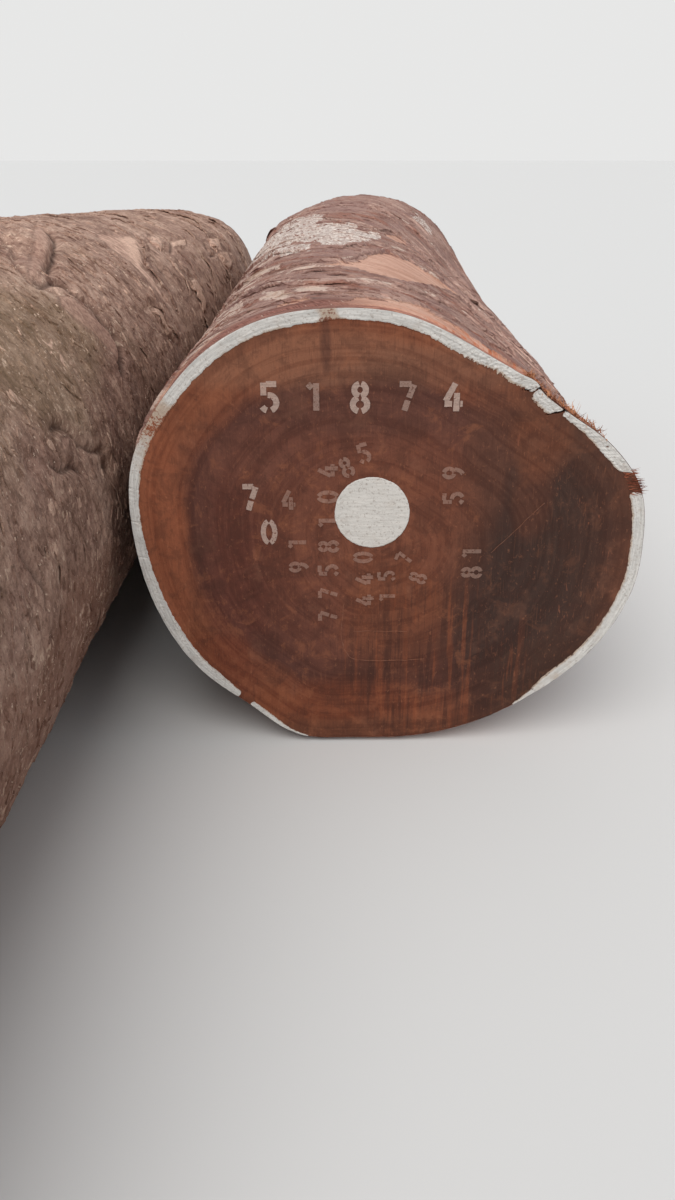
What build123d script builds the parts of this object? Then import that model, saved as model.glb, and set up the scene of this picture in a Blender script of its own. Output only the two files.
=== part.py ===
"""Two round hardwood logs lying side by side on level ground, each touching the other.

The frame: +Y runs along the logs, away from the marked end, +X is to the right of someone
who faces that end, +Z is up, and the ground is z = 0. Units are millimetres and degrees.
The origin is on the ground, under the middle of the pair.
"""

import math
import os

from build123d import *

# Right log: crosscut at both ends, with a flute running down its right flank
RIGHT_LENGTH = 3600
RIGHT_END_RADIUS = 627  # under bark, at the marked end, before its swellings
RIGHT_FRONT_RADIUS = 640  # over bark, where the bark starts
RIGHT_MIDDLE_RADIUS = 633
RIGHT_FAR_RADIUS = 607
RIGHT_SWEEP = 45  # how far the far end curves to the right
FLUTE_HEIGHT = 80  # how far the flute stands out of the round
RIDGE_HEIGHT = 50  # upper edge of the flute
CHORD_DEPTH = 75  # flattened stretch above the flute
CROWN_HEIGHT = 13  # swelling of the upper left
HOLLOW_DEPTH = 77  # flattened stretch of the lower left
BELLY_HEIGHT = 36  # narrow swelling within it, near the ground
FAR_FLUTE_HEIGHT = 44
FAR_SHOULDER_HEIGHT = 34  # swelling that takes the flattened stretch's place
FAR_BROW_HEIGHT = 36  # swelling of the far end's upper left
MIDDLE_START = 0.35  # shares of the trunk between which its section stays the same
MIDDLE_END = 0.7

# Marked end of the right log: a strip without bark, then the bark's broken edge
BARE_STRIP = 60
BARK_STEP = 8
BARK_LIP = 50  # length over which the edge rises to full thickness
RUBBED_DEPTH = 15  # how much thinner the bark is where the flute has been rubbed

# End checks: two short splits that cross the rim of the marked end
CHECK_LENGTH = 62
CHECK_MOUTH = 5
CHECK_DEPTH = 90
CHECK_ANGLES = (36.5, 44.5)  # place on the rim, above +X

# Left log: longer and stouter, tapering and curving away from its near end
LEFT_LENGTH = 6000
LEFT_NEAR_RADIUS = 646
LEFT_MIDDLE_RADIUS = 626
LEFT_UPPER_RADIUS = 588
LEFT_FAR_RADIUS = 550
LEFT_SWEEP = 165  # how far its far end curves towards the right log
LEFT_LEAD = 1850  # how far its near end reaches in front of the marked end
SHOULDER_HEIGHT = 24  # swelling of the upper right, which winds round the log
HEEL_HEIGHT = 24  # swelling of the lower right, which fades out along the log
BACK_HOLLOW = 14  # shallow hollow down the left flank
LEFT_BROW_HEIGHT = 46  # swelling of the far end's upper right, which fades towards the near end
BUTT_SHARE = 0.3  # shares of its length at which the taper changes
WAIST_SHARE = 0.55
UPPER_SHARE = 0.8

# Knot of the left log: the healed stub of a branch, a bell on the bark
KNOT_DISTANCE = 2680  # from the near end
KNOT_ANGLE = 65  # above +X
KNOT_RADIUS = 170
KNOT_HEIGHT = 42
KNOT_ROOT = 70  # how deep its base is sunk in the trunk
KNOT_FLARE = 0.6  # how far the bell's foot spreads for each unit that it drops

REST_GAP = 0.3  # clearance between the two logs where they touch
SIDES = 60  # narrow flats round each log


def swell(angle, centre, spread, height):
    """Height, at an angle round a section, of one smooth swelling."""
    away = (angle - centre + 180) % 360 - 180
    return height * math.exp(-((away / spread) ** 2))


def rim(radius, swellings, angle):
    """Distance from the pith to the rim, at an angle measured from +X towards +Z."""
    return radius + sum(swell(angle, *swelling) for swelling in swellings)


def rim_point(radius, swellings, angle):
    """Point (x, z) of the rim at an angle, from the pith."""
    reach = rim(radius, swellings, angle)
    return reach * math.cos(math.radians(angle)), reach * math.sin(math.radians(angle))


def outline(radius, swellings):
    """Evenly spaced points round a section, from its pith."""
    step = 360 / SIDES
    return [rim_point(radius, swellings, step * i) for i in range(SIDES)]


def pith_over(x, radius, swellings):
    """Pith of a section that lies on the ground with its pith above x."""
    return x, -min(z for _, z in outline(radius, swellings))


def section(station, radius, swellings, pith):
    """Face of one cross-section at y = station."""
    with BuildSketch(Plane.XZ.offset(-station)) as face:
        with BuildLine():
            points = [(pith[0] + x, pith[1] + z) for x, z in outline(radius, swellings)]
            Polyline(*points, close=True)
        make_face()
    return face.sketch


def left_swellings(share):
    """Swellings of the left log at a share of its length, as (angle, spread, height)."""
    return (
        (60 - 50 * share, 40, SHOULDER_HEIGHT),
        (190, 45, -BACK_HOLLOW),
        (320, 35, HEEL_HEIGHT * (1 - share)),
        (46, 22, LEFT_BROW_HEIGHT * share**3),
    )


# Right log
fluted = (
    # angle, spread, height
    (349, 33, FLUTE_HEIGHT),
    (15, 14, RIDGE_HEIGHT),
    (60, 50, -CHORD_DEPTH),
    (158, 14, CROWN_HEIGHT),
    (231, 70, -HOLLOW_DEPTH),
    (252, 11, BELLY_HEIGHT),
)
rubbed = fluted + ((18, 13, -RUBBED_DEPTH),)
rounded = (
    (5, 30, FAR_FLUTE_HEIGHT),
    (50, 26, FAR_SHOULDER_HEIGHT),
    (136, 13, FAR_BROW_HEIGHT),
)
front_pith = pith_over(0, RIGHT_FRONT_RADIUS, fluted)
middle_pith = pith_over(0, RIGHT_MIDDLE_RADIUS, fluted)
far_pith = pith_over(RIGHT_SWEEP, RIGHT_FAR_RADIUS, rounded)
trunk_start = BARE_STRIP + BARK_LIP
trunk_length = RIGHT_LENGTH - trunk_start

with BuildPart() as right_log:
    # Bare strip, straight back from the saw cut
    bare_front = section(0, RIGHT_END_RADIUS, fluted, front_pith)
    bare_back = section(BARE_STRIP, RIGHT_END_RADIUS, fluted, front_pith)
    loft(sections=[bare_front, bare_back], ruled=True)

    # Broken edge of the bark
    lip_front = section(BARE_STRIP, RIGHT_END_RADIUS + BARK_STEP, rubbed, front_pith)
    lip_back = section(trunk_start, RIGHT_FRONT_RADIUS, rubbed, front_pith)
    loft(sections=[lip_front, lip_back], ruled=True)

    # Trunk, whose flute fades towards the far end
    trunk_sections = [
        section(trunk_start, RIGHT_FRONT_RADIUS, rubbed, front_pith),
        section(trunk_start + trunk_length * MIDDLE_START, RIGHT_MIDDLE_RADIUS, fluted, middle_pith),
        section(trunk_start + trunk_length * MIDDLE_END, RIGHT_MIDDLE_RADIUS, fluted, middle_pith),
        section(RIGHT_LENGTH, RIGHT_FAR_RADIUS, rounded, far_pith),
    ]
    loft(sections=trunk_sections, ruled=True)

    # End checks, each a level wedge that closes towards the heart
    for angle in CHECK_ANGLES:
        rim_x, rim_z = rim_point(RIGHT_END_RADIUS, fluted, angle)
        mouth_x, mouth_z = front_pith[0] + rim_x, front_pith[1] + rim_z
        with BuildSketch(Plane.XZ):
            with BuildLine():
                Polyline(
                    (mouth_x - CHECK_LENGTH, mouth_z - CHECK_MOUTH),
                    (mouth_x + CHECK_LENGTH, mouth_z + CHECK_MOUTH),
                    (mouth_x + CHECK_LENGTH, mouth_z - CHECK_MOUTH),
                    close=True,
                )
            make_face()
        extrude(amount=-CHECK_DEPTH, mode=Mode.SUBTRACT)
right_log.part.label = "right_log"


# Left log
left_stations = (
    # share of the length, radius
    (0, LEFT_NEAR_RADIUS),
    (BUTT_SHARE, LEFT_NEAR_RADIUS),
    (WAIST_SHARE, LEFT_MIDDLE_RADIUS),
    (UPPER_SHARE, LEFT_UPPER_RADIUS),
    (1, LEFT_FAR_RADIUS),
)


def left_radius(share):
    """Radius of the left log at a share of its length, between its stations."""
    for (start, near), (end, far) in zip(left_stations, left_stations[1:]):
        if share <= end:
            return near + (far - near) * (share - start) / (end - start)
    return LEFT_FAR_RADIUS


def left_pith(share):
    """Pith (x, z) of the left log at a share of its length."""
    return pith_over(LEFT_SWEEP * share**2, left_radius(share), left_swellings(share))


with BuildPart() as left_log:
    left_sections = [
        section(share * LEFT_LENGTH - LEFT_LEAD, radius, left_swellings(share), left_pith(share))
        for share, radius in left_stations
    ]
    loft(sections=left_sections, ruled=True)

    # Knot, a bell turned about its own axis, which points out of the trunk
    knot_share = KNOT_DISTANCE / LEFT_LENGTH
    knot_swellings = left_swellings(knot_share)
    pith_x, pith_z = left_pith(knot_share)
    rim_x, rim_z = rim_point(left_radius(knot_share), knot_swellings, KNOT_ANGLE)
    knot_base = (pith_x + rim_x, KNOT_DISTANCE - LEFT_LEAD, pith_z + rim_z)
    outward = (math.cos(math.radians(KNOT_ANGLE)), 0, math.sin(math.radians(KNOT_ANGLE)))
    with BuildSketch(Plane(origin=knot_base, x_dir=outward, z_dir=(0, 1, 0))):
        with BuildLine():
            bell = Spline(
                (KNOT_HEIGHT, 0),
                (-KNOT_ROOT, KNOT_RADIUS),
                tangents=[(0, 1), (-1, KNOT_FLARE)],
            )
            Polyline(bell @ 1, (-KNOT_ROOT, 0), bell @ 0)
        make_face()
    revolve(axis=Axis(knot_base, outward), revolution_arc=360)
left_log.part.label = "left_log"


# Lay both logs on the ground, and the left one against the right one
left_log.part.position = (-2 * (LEFT_NEAR_RADIUS + SHOULDER_HEIGHT), 0, 0)
for log in (right_log, left_log):
    log.part.position -= (0, 0, log.part.bounding_box().min.Z)
for _ in range(4):
    gap = right_log.part.distance_to(left_log.part)
    left_log.part.position += (gap - REST_GAP, 0, 0)

# Bring the pair over the origin
middle = Compound([right_log.part, left_log.part]).bounding_box().center()
for log in (right_log, left_log):
    log.part.position -= (middle.X, middle.Y, 0)

os.makedirs("parts", exist_ok=True)
for log in (right_log, left_log):
    export_step(log.part, f"parts/{log.part.label}.step")
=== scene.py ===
import itertools
import math
import random

import bmesh
import bpy
import numpy as np
from mathutils.bvhtree import BVHTree
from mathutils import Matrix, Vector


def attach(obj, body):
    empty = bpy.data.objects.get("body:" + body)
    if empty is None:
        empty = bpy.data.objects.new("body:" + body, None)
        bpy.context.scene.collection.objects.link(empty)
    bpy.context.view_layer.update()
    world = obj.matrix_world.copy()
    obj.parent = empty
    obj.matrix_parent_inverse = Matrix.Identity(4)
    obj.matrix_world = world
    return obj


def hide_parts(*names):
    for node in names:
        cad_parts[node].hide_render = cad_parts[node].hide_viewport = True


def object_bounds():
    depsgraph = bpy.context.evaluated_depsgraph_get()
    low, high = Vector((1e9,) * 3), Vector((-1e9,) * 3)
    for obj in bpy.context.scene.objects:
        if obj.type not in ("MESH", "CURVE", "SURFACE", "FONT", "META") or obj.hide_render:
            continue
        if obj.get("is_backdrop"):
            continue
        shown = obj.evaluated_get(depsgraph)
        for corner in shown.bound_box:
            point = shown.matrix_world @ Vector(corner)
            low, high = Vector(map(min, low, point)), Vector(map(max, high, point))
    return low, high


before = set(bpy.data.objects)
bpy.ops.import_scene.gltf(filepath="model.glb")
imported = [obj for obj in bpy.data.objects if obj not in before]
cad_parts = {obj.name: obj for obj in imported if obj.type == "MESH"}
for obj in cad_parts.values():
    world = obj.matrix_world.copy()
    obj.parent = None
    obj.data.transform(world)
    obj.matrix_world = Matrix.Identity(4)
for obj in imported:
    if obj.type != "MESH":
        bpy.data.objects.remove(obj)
cad_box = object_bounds()

# Two logs lying side by side along +Y. The near end of the right one is sawn and marked with paint.
# Places are in metres in the shared frame: +Y along the logs, +Z up, the ground at z = 0.
MARKED_Y = -1.15  # plane of the marked end
FACE_X, FACE_Z = 0.651, 0.595  # middle of the marked end, that its rim is measured from
PITH_X, PITH_Z = 0.609, 0.587  # heart of the marked end, round which the flute is rubbed
DISC_X, DISC_Z, DISC_RADIUS = 0.629, 0.682, 0.0925  # painted disc
RIGHT_LENGTH, LEFT_LENGTH = 3.6, 6.0
LEFT_Y = -3.0  # near end of the left log
BARK_START = 0.113  # distance from the marked end at which the CAD bark is at its full thickness
BARK_DEEP = 0.017  # thickest bark that is modelled on the trunks, all of it inside the CAD surface
SUNK_BARK = 0.0125  # how far the marked end's sawn rim lies inside that bark
SKIN = 0.0004  # least clearance kept inside the CAD surface and over the floor
REACH = 0.011  # metres round a trunk for each degree
MEAN_RADIUS = 0.62
NOISE_RADIUS = 0.6  # where noise is read on the right log, and both logs' tones
RIM_RADIUS = 0.61  # for lengths round a rim or under a flake
PLAIN_INSET = 0.013  # how far a plain end's rim lies inside the CAD surface
MARKED_THICK, PLAIN_THICK = 0.075, 0.055  # how deep the sawn ends' pieces go
PAINT = 0.0011  # thickness of the end paint
ROOT = 0.0015  # how deep paint, digits and saw lines start inside the sawn face
CAMERA_AT = (0.5401, -3.298, 1.52)
CAMERA_PITCH = 26.66  # degrees below level
CAMERA_YAW = -0.09
CAMERA_LENS = 27.9  # for a 36 mm film side along the picture's height


# Numbers


def ramp(low, high, x):
    """0 below low, 1 above high, and smooth between them; low may be the larger."""
    t = np.clip((x - low) / (high - low), 0, 1)
    return t * t * (3 - 2 * t)


def bump(x, centre, spread):
    """A smooth hill, 1 at its centre."""
    return np.exp(-(((x - centre) / spread) ** 2))


DIRECTIONS = np.array([d for d in itertools.product((-1, 0, 1), repeat=3) if np.abs(d).sum() == 2], float)


def scramble(cell, seed):
    """A whole number for each lattice cell, without pattern."""
    h = cell[:, 0] * 374761393 + cell[:, 1] * 668265263 + cell[:, 2] * 1440662683 + seed * 974711
    h = (h ^ (h >> 13)) & 0xFFFFFFFF
    h = (h * 1274126177) & 0xFFFFFFFF
    return h ^ (h >> 16)


def noise(p, seed=0):
    """Smooth noise, about -1 to 1, at each row of an (n, 3) array."""
    cell = np.floor(p).astype(np.int64)
    f = p - cell
    w = f * f * f * (f * (f * 6 - 15) + 10)
    total = np.zeros(len(p))
    for corner in itertools.product((0, 1), repeat=3):
        o = np.array(corner[::-1])
        grad = DIRECTIONS[scramble(cell + o, seed) % 12]
        weight = np.prod(np.where(o, w, 1 - w), axis=1)
        total += weight * ((f - o) * grad).sum(1)
    return total * 1.5


def fractal(p, octaves, seed=0):
    """Several sizes of noise added up, each half as strong as the one before."""
    return sum(0.5**i * noise(p * 2.03**i + 17.3 * i, seed + i) for i in range(octaves))


def streaks(p, u, across, along, seed):
    """Noise drawn out along strands, where u is the place across them."""
    return noise(np.stack([p[:, 0] * across, u * along, p[:, 2] * across], 1), seed)


def value_1d(n, seed):
    """A number from 0 to 1 for each whole number n."""
    cell = np.stack([n, n * 0, n * 0], 1).astype(np.int64)
    return (scramble(cell, seed) % 10007) / 10007


def turn(theta):
    """Degrees above +X, from -90 to 270, so that the seam is underneath."""
    return (np.degrees(theta) + 90) % 360 - 90


def spaced(low, high, count, weight):
    """count values from low to high, closer together where weight(x) is larger."""
    x = np.linspace(low, high, 4001)
    w = weight(x)
    cdf = np.concatenate([[0], np.cumsum((w[1:] + w[:-1]) / 2)])
    return np.interp(np.linspace(0, cdf[-1], count), cdf, x)


def all_round(count, weight):
    """count angles round a trunk, from its underside on."""
    return spaced(-math.pi / 2, 1.5 * math.pi, count + 1, weight)[:-1]


def along_path(points, step, least=4):
    """Points spaced evenly along an open line, as (place along it, x, z)."""
    points = np.array(points, float)
    length = np.concatenate([[0], np.cumsum(np.hypot(*np.diff(points, axis=0).T))])
    at = np.linspace(0, length[-1], max(int(length[-1] / step), least))
    return at, np.interp(at, length, points[:, 0]), np.interp(at, length, points[:, 1])


# Meshes


def piece(name, verts, faces, material, attributes, smooth=True):
    """An object of closed shells, riding on the part's one body, with numbers kept at its points.

    Points that close the ends of a grid come last, and have 0 where they are given nothing.
    """
    mesh = bpy.data.meshes.new(name)
    mesh.from_pydata(verts.tolist(), [], faces)
    work = bmesh.new()
    work.from_mesh(mesh)
    bmesh.ops.recalc_face_normals(work, faces=work.faces)
    # Faces that look outwards give a volume above 0
    if work.calc_volume(signed=True) < 0:
        bmesh.ops.reverse_faces(work, faces=work.faces)
    work.to_mesh(mesh)
    work.free()
    for key, values in attributes.items():
        values = np.asarray(values, np.float32)
        rest = np.zeros((len(verts) - len(values), *values.shape[1:]), np.float32)
        values = np.concatenate([values, rest])
        kind, field = ("FLOAT", "value") if values.ndim == 1 else ("FLOAT_VECTOR", "vector")
        mesh.attributes.new(key, kind, "POINT").data.foreach_set(field, values.ravel())
    mesh.polygons.foreach_set("use_smooth", [smooth] * len(mesh.polygons))
    mesh.materials.append(material)
    obj = bpy.data.objects.new(name, mesh)
    bpy.context.scene.collection.objects.link(obj)
    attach(obj, "root")
    return obj


def grid(rows, cols, closed=True):
    """Quads of a grid whose point (row, col) is row * cols + col."""
    r = np.arange(rows - 1)[:, None]
    c = np.arange(cols if closed else cols - 1)[None, :]
    after = (c + 1) % cols
    quads = np.stack([r * cols + c, (r + 1) * cols + c, (r + 1) * cols + after, r * cols + after], -1)
    return quads.reshape(-1, 4).tolist()


def capped(rows, cols):
    """Faces of a closed grid, whose end rows are closed to the two points that come after it."""
    faces = grid(rows, cols)
    for start, centre in ((0, rows * cols), ((rows - 1) * cols, rows * cols + 1)):
        faces += [[start + i, start + (i + 1) % cols, centre] for i in range(cols)]
    return faces


def bar(first, stations):
    """Faces of a closed bar that has four points at each station, from the point first on."""
    faces = []
    for i, k in itertools.product(range(stations - 1), range(4)):
        a, b = first + 4 * i + k, first + 4 * i + (k + 1) % 4
        faces.append([a, b, b + 4, a + 4])
    last = first + 4 * (stations - 1)
    return faces + [[first, first + 3, first + 2, first + 1], [last, last + 1, last + 2, last + 3]]


# Trunks


class Trunk:
    """The CAD surface of a log, as a smooth distance from its axis."""

    STATIONS, TURNS = 90, 180  # places and angles at which the surface is measured
    HARMONICS, FADE = 30, 26  # waves kept round a section, and where they die away

    def __init__(self, node, near, far, bend, first, last):
        """The axis goes from near to far, curved by bend, and is measured from first to last."""
        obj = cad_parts[node]
        verts = [obj.matrix_world @ v.co for v in obj.data.vertices]
        tree = BVHTree.FromPolygons(verts, [tuple(p.vertices) for p in obj.data.polygons])
        self.near, self.far, self.bend = near, far, bend
        self.stations = np.linspace(near[1] + first, near[1] + last, self.STATIONS)
        turns = np.linspace(0, math.tau, self.TURNS, endpoint=False)
        table = np.zeros((self.STATIONS, self.TURNS))
        for i, y in enumerate(self.stations):
            x, z = self.axis(y)
            for j, t in enumerate(turns):
                reach = tree.ray_cast((x, y, z), (math.cos(t), 0, math.sin(t)))[3]
                table[i, j] = reach if reach else table[i, j - 1]
        waves = np.fft.rfft(table, axis=1)[:, : self.HARMONICS] / self.TURNS
        waves[:, 1:] *= 2
        self.waves = waves * np.exp(-((np.arange(self.HARMONICS) / self.FADE) ** 4))

    def axis(self, y):
        """Place (x, z) of the axis."""
        share = np.clip((y - self.near[1]) / (self.far[1] - self.near[1]), 0, 1) ** self.bend
        return [near + (far - near) * share for near, far in zip(self.near[::2], self.far[::2])]

    def radius(self, theta, y):
        """Distance from the axis to the CAD surface."""
        y = np.clip(y, self.stations[0], self.stations[-1])
        out = np.zeros(np.broadcast(theta, y).shape)
        for k, wave in enumerate(self.waves.T):
            real, imag = np.interp(y, self.stations, wave.real), np.interp(y, self.stations, wave.imag)
            out += real * np.cos(k * theta) - imag * np.sin(k * theta)
        return out

    def place(self, theta, y, r):
        """Point at an angle, a place along the log and a distance from the axis."""
        x, z = self.axis(y)
        return np.stack([x + r * np.cos(theta), y + 0 * r, z + r * np.sin(theta)], -1)

    def within(self, theta, y, deep=MEAN_RADIUS):
        """Point at one depth inside the bark, that its noise is read at."""
        return self.place(theta, y, np.full(len(theta), deep))


right = Trunk("right_log", (FACE_X, MARKED_Y, FACE_Z), (0.6737, 2.45, 0.6176), 1, BARK_START, 3.598)
left = Trunk("left_log", (-0.6714, LEFT_Y, 0.6518), (-0.501, 3.0, 0.5592), 2, 0.002, 5.998)

# Swellings of the rim beyond the bark's own line, as degrees above +X, spread and height in metres
RIM_SWELLINGS = (
    (-38, 20, -0.009), (-8, 9, 0.0065), (29.5, 7.5, 0.009), (42, 6, 0.004), (49.5, 3.2, 0.010),
    (55, 5, 0.004), (86, 14, 0.012), (119, 17, 0.011), (134, 9, 0.003), (178, 20, -0.006), (217, 15, 0.010),
)
RUB_ANGLE, RUB_SPREAD, RUB_DEPTH = 18, 13, 0.015  # where the flute is rubbed, seen from the pith


def rim(theta):
    """Rim of the marked end's sawn face, which has no bark."""
    r = right.radius(theta, np.full(np.shape(theta), MARKED_Y + BARK_START)) - SUNK_BARK
    x, z = FACE_X + r * np.cos(theta) - PITH_X, FACE_Z + r * np.sin(theta) - PITH_Z
    flush = sum(height * bump(turn(theta), at, spread) for at, spread, height in RIM_SWELLINGS)
    return r + flush + RUB_DEPTH * bump(np.degrees(np.arctan2(z, x)), RUB_ANGLE, RUB_SPREAD)


# Places on the bark


def to_segment(x, z, a, b):
    """Distance from points to a segment, and the share along it of the nearest place."""
    dx, dz = b[0] - a[0], b[1] - a[1]
    t = np.clip(((x - a[0]) * dx + (z - a[1]) * dz) / (dx * dx + dz * dz), 0, 1)
    return np.hypot(x - a[0] - t * dx, z - a[1] - t * dz), t


def flat(points):
    """Points given as (metres along the log, degrees), with both in metres."""
    return [(s, deg * REACH) for s, deg in points]


def signed(outlines, s, deg):
    """Distance in metres from the edge of the nearest outline, below 0 inside one."""
    z, found = deg * REACH, []
    for corners in map(flat, outlines):
        best, odd = np.full(len(s), 9.0), np.zeros(len(s), bool)
        for a, b in zip(corners, corners[1:] + corners[:1]):
            best = np.minimum(best, to_segment(s, z, a, b)[0])
            lean = (b[0] - a[0]) / (b[1] - a[1] or 1e-9)
            odd ^= ((a[1] > z) != (b[1] > z)) & (s < a[0] + (z - a[1]) * lean)
        found.append(np.where(odd, -best, best))
    return np.minimum.reduce(found)


def from_line(path, s, deg):
    """Distance in metres from an open line, which side of it, and the share along it."""
    z, points = deg * REACH, flat(path)
    best, side, along = np.full(len(s), 9.0), np.zeros(len(s)), np.zeros(len(s))
    for i, (a, b) in enumerate(zip(points, points[1:])):
        gap, t = to_segment(s, z, a, b)
        closer = gap < best
        best = np.where(closer, gap, best)
        side = np.where(closer, np.sign((s - a[0]) * (b[1] - a[1]) - (z - a[1]) * (b[0] - a[0])), side)
        along = np.where(closer, (i + t) / (len(path) - 1), along)
    return best, side, along


def from_spot(at_s, at_deg, s, deg):
    """Distance in metres from one place of the bark."""
    return np.hypot(s - at_s, (deg - at_deg) * REACH)


def softly(x, width=5.0):
    """x where it is positive and 0 where it isn't, rounded between."""
    return width * np.log1p(np.exp(np.clip(x / width, -30, 30)))


def plates(u, spacing, wander, seed, thick, p):
    """Overlapping plates along u: each is thick at its near edge and thins behind it."""
    v = u / spacing + wander * noise(p, seed)
    n = np.floor(v)
    f = v - n
    edge = ramp(0.0, 0.06, f)
    height, before = thick * value_1d(n + 500, seed), thick * value_1d(n + 499, seed)
    return edge * height * (1 - 0.75 * f) + (1 - edge) * before * 0.25, f


def arc_of(theta, flow):
    """Place over the bark, as (round the trunk, across its strands), in metres."""
    return np.stack([np.radians(turn(theta)) * MEAN_RADIUS, flow, flow * 0], 1)


# Right log's bark

# Outlines are (distance from the near end in metres, degrees above +X)
SALMON = (
    # Strip behind the sawn end
    [
        (-0.1, 104), (0.05, 102), (0.09, 98), (0.17, 94), (0.25, 89), (0.31, 81), (0.30, 77), (0.16, 74),
        (0.10, 69), (0.07, 61), (0.065, 53), (0.085, 45), (0.075, 40), (0.07, 22), (-0.1, 22),
    ],
    # Large patch
    [
        (0.93, 108), (0.90, 104), (0.95, 100), (0.99, 95), (1.32, 90), (1.56, 82), (1.54, 72), (1.43, 66),
        (1.40, 52), (1.30, 50), (1.18, 60), (0.94, 70), (0.74, 80), (0.70, 86), (0.72, 91), (0.80, 96),
        (0.85, 102),
    ],
    # Small spots
    [(2.37, 79), (2.59, 70), (2.50, 66), (2.31, 66), (2.15, 73), (2.16, 79)],
    [(0.17, 113), (0.22, 109), (0.125, 106), (0.08, 110), (0.09, 115)],
)
LICHEN = (
    # Main crust
    [
        (3.18, 124), (2.75, 108), (2.43, 112), (2.37, 102), (2.35, 95), (2.07, 91), (2.20, 83), (1.96, 85),
        (1.59, 91), (1.40, 100), (1.43, 108), (1.64, 111), (1.67, 116), (1.84, 122), (1.94, 128),
        (2.15, 138), (2.35, 148), (2.80, 148), (3.05, 136),
    ],
    # Its tail, and the far one
    [(2.04, 131), (1.65, 117), (1.51, 110), (1.36, 111), (1.50, 120), (1.82, 132)],
    [(3.05, 52), (3.10, 46), (3.35, 50), (3.45, 60), (3.2, 62)],
)
SCUFFS = (
    [(0.61, 122), (0.48, 117), (0.31, 112), (0.235, 113), (0.395, 120)],
    [(0.43, 112), (0.35, 102), (0.27, 102), (0.29, 110)],
    [(0.98, 120), (0.93, 108), (0.90, 107), (0.93, 120)],
    [(1.45, 136), (1.30, 126), (1.10, 118), (1.04, 120), (1.15, 128), (1.22, 137)],
    [(0.83, 116), (0.76, 102), (0.79, 101), (0.90, 110), (0.93, 116)],
)
# Near edges of the bark's layers, as distances along the log at these angles
BAND_ANGLES = (-30, 25, 45, 61, 74, 82, 90, 100, 115, 133, 150, 215)
BANDS = (
    (0.30, 0.20, 0.42, 0.56, 0.58, 0.52, 0.48, 0.40, 0.53, 0.92, 1.35, 1.60),
    (0.80, 0.70, 1.15, 1.40, 1.54, 1.56, 1.32, 0.95, 0.97, 1.26, 1.80, 2.00),
    (1.10, 1.05, 1.42, 1.62, 1.75, 1.76, 1.54, 1.37, 1.42, 1.85, 2.40, 2.50),
    (1.70, 1.70, 2.00, 2.30, 2.60, 2.35, 2.20, 2.40, 2.90, 3.00, 3.20, 3.20),
    (3.00, 2.60, 2.80, 2.90, 3.00, 3.10, 3.10, 3.10, 3.20, 3.30, 3.40, 3.40),
)


def right_lean(deg):
    """How far along the log the bark's strands run as they go round it."""
    # The lean dies away down the lower flanks
    deg = np.where(deg < 20, 20 - 35 * (1 - np.exp(np.minimum(deg - 20, 0) / 35)), deg)
    deg = np.where(deg > 150, 150 + 35 * (1 - np.exp(np.minimum(150 - deg, 0) / 35)), deg)
    return 0.012 * softly(deg - 103) - 0.0135 * softly(82 - deg)


def right_flow(theta, y):
    """Place across the bark's strands, which go over the top and bend along both flanks."""
    return y - MARKED_Y - right_lean(turn(theta))


def right_masks(theta, y):
    """Share of the surface that is bare of bark, that lichen covers, and that is scuffed."""
    deg, s = turn(theta), y - MARKED_Y
    p = right.within(theta, y, NOISE_RADIUS)
    wave = 0.010 * fractal(p * 9, 2, 5) + 0.006 * noise(p * 38, 8)
    inner = np.minimum(signed(SALMON, s, deg), s - 0.064 - 0.05 * bump(deg, 150, 40))
    lichen = ramp(0.02, -0.03, signed(LICHEN, s, deg) + 2.2 * wave) * (1 - 0.45 * ramp(2.8, 3.0, s))
    return ramp(0.005, -0.006, inner + wave), lichen, ramp(0.02, -0.03, signed(SCUFFS, s, deg) + 1.6 * wave)


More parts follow.
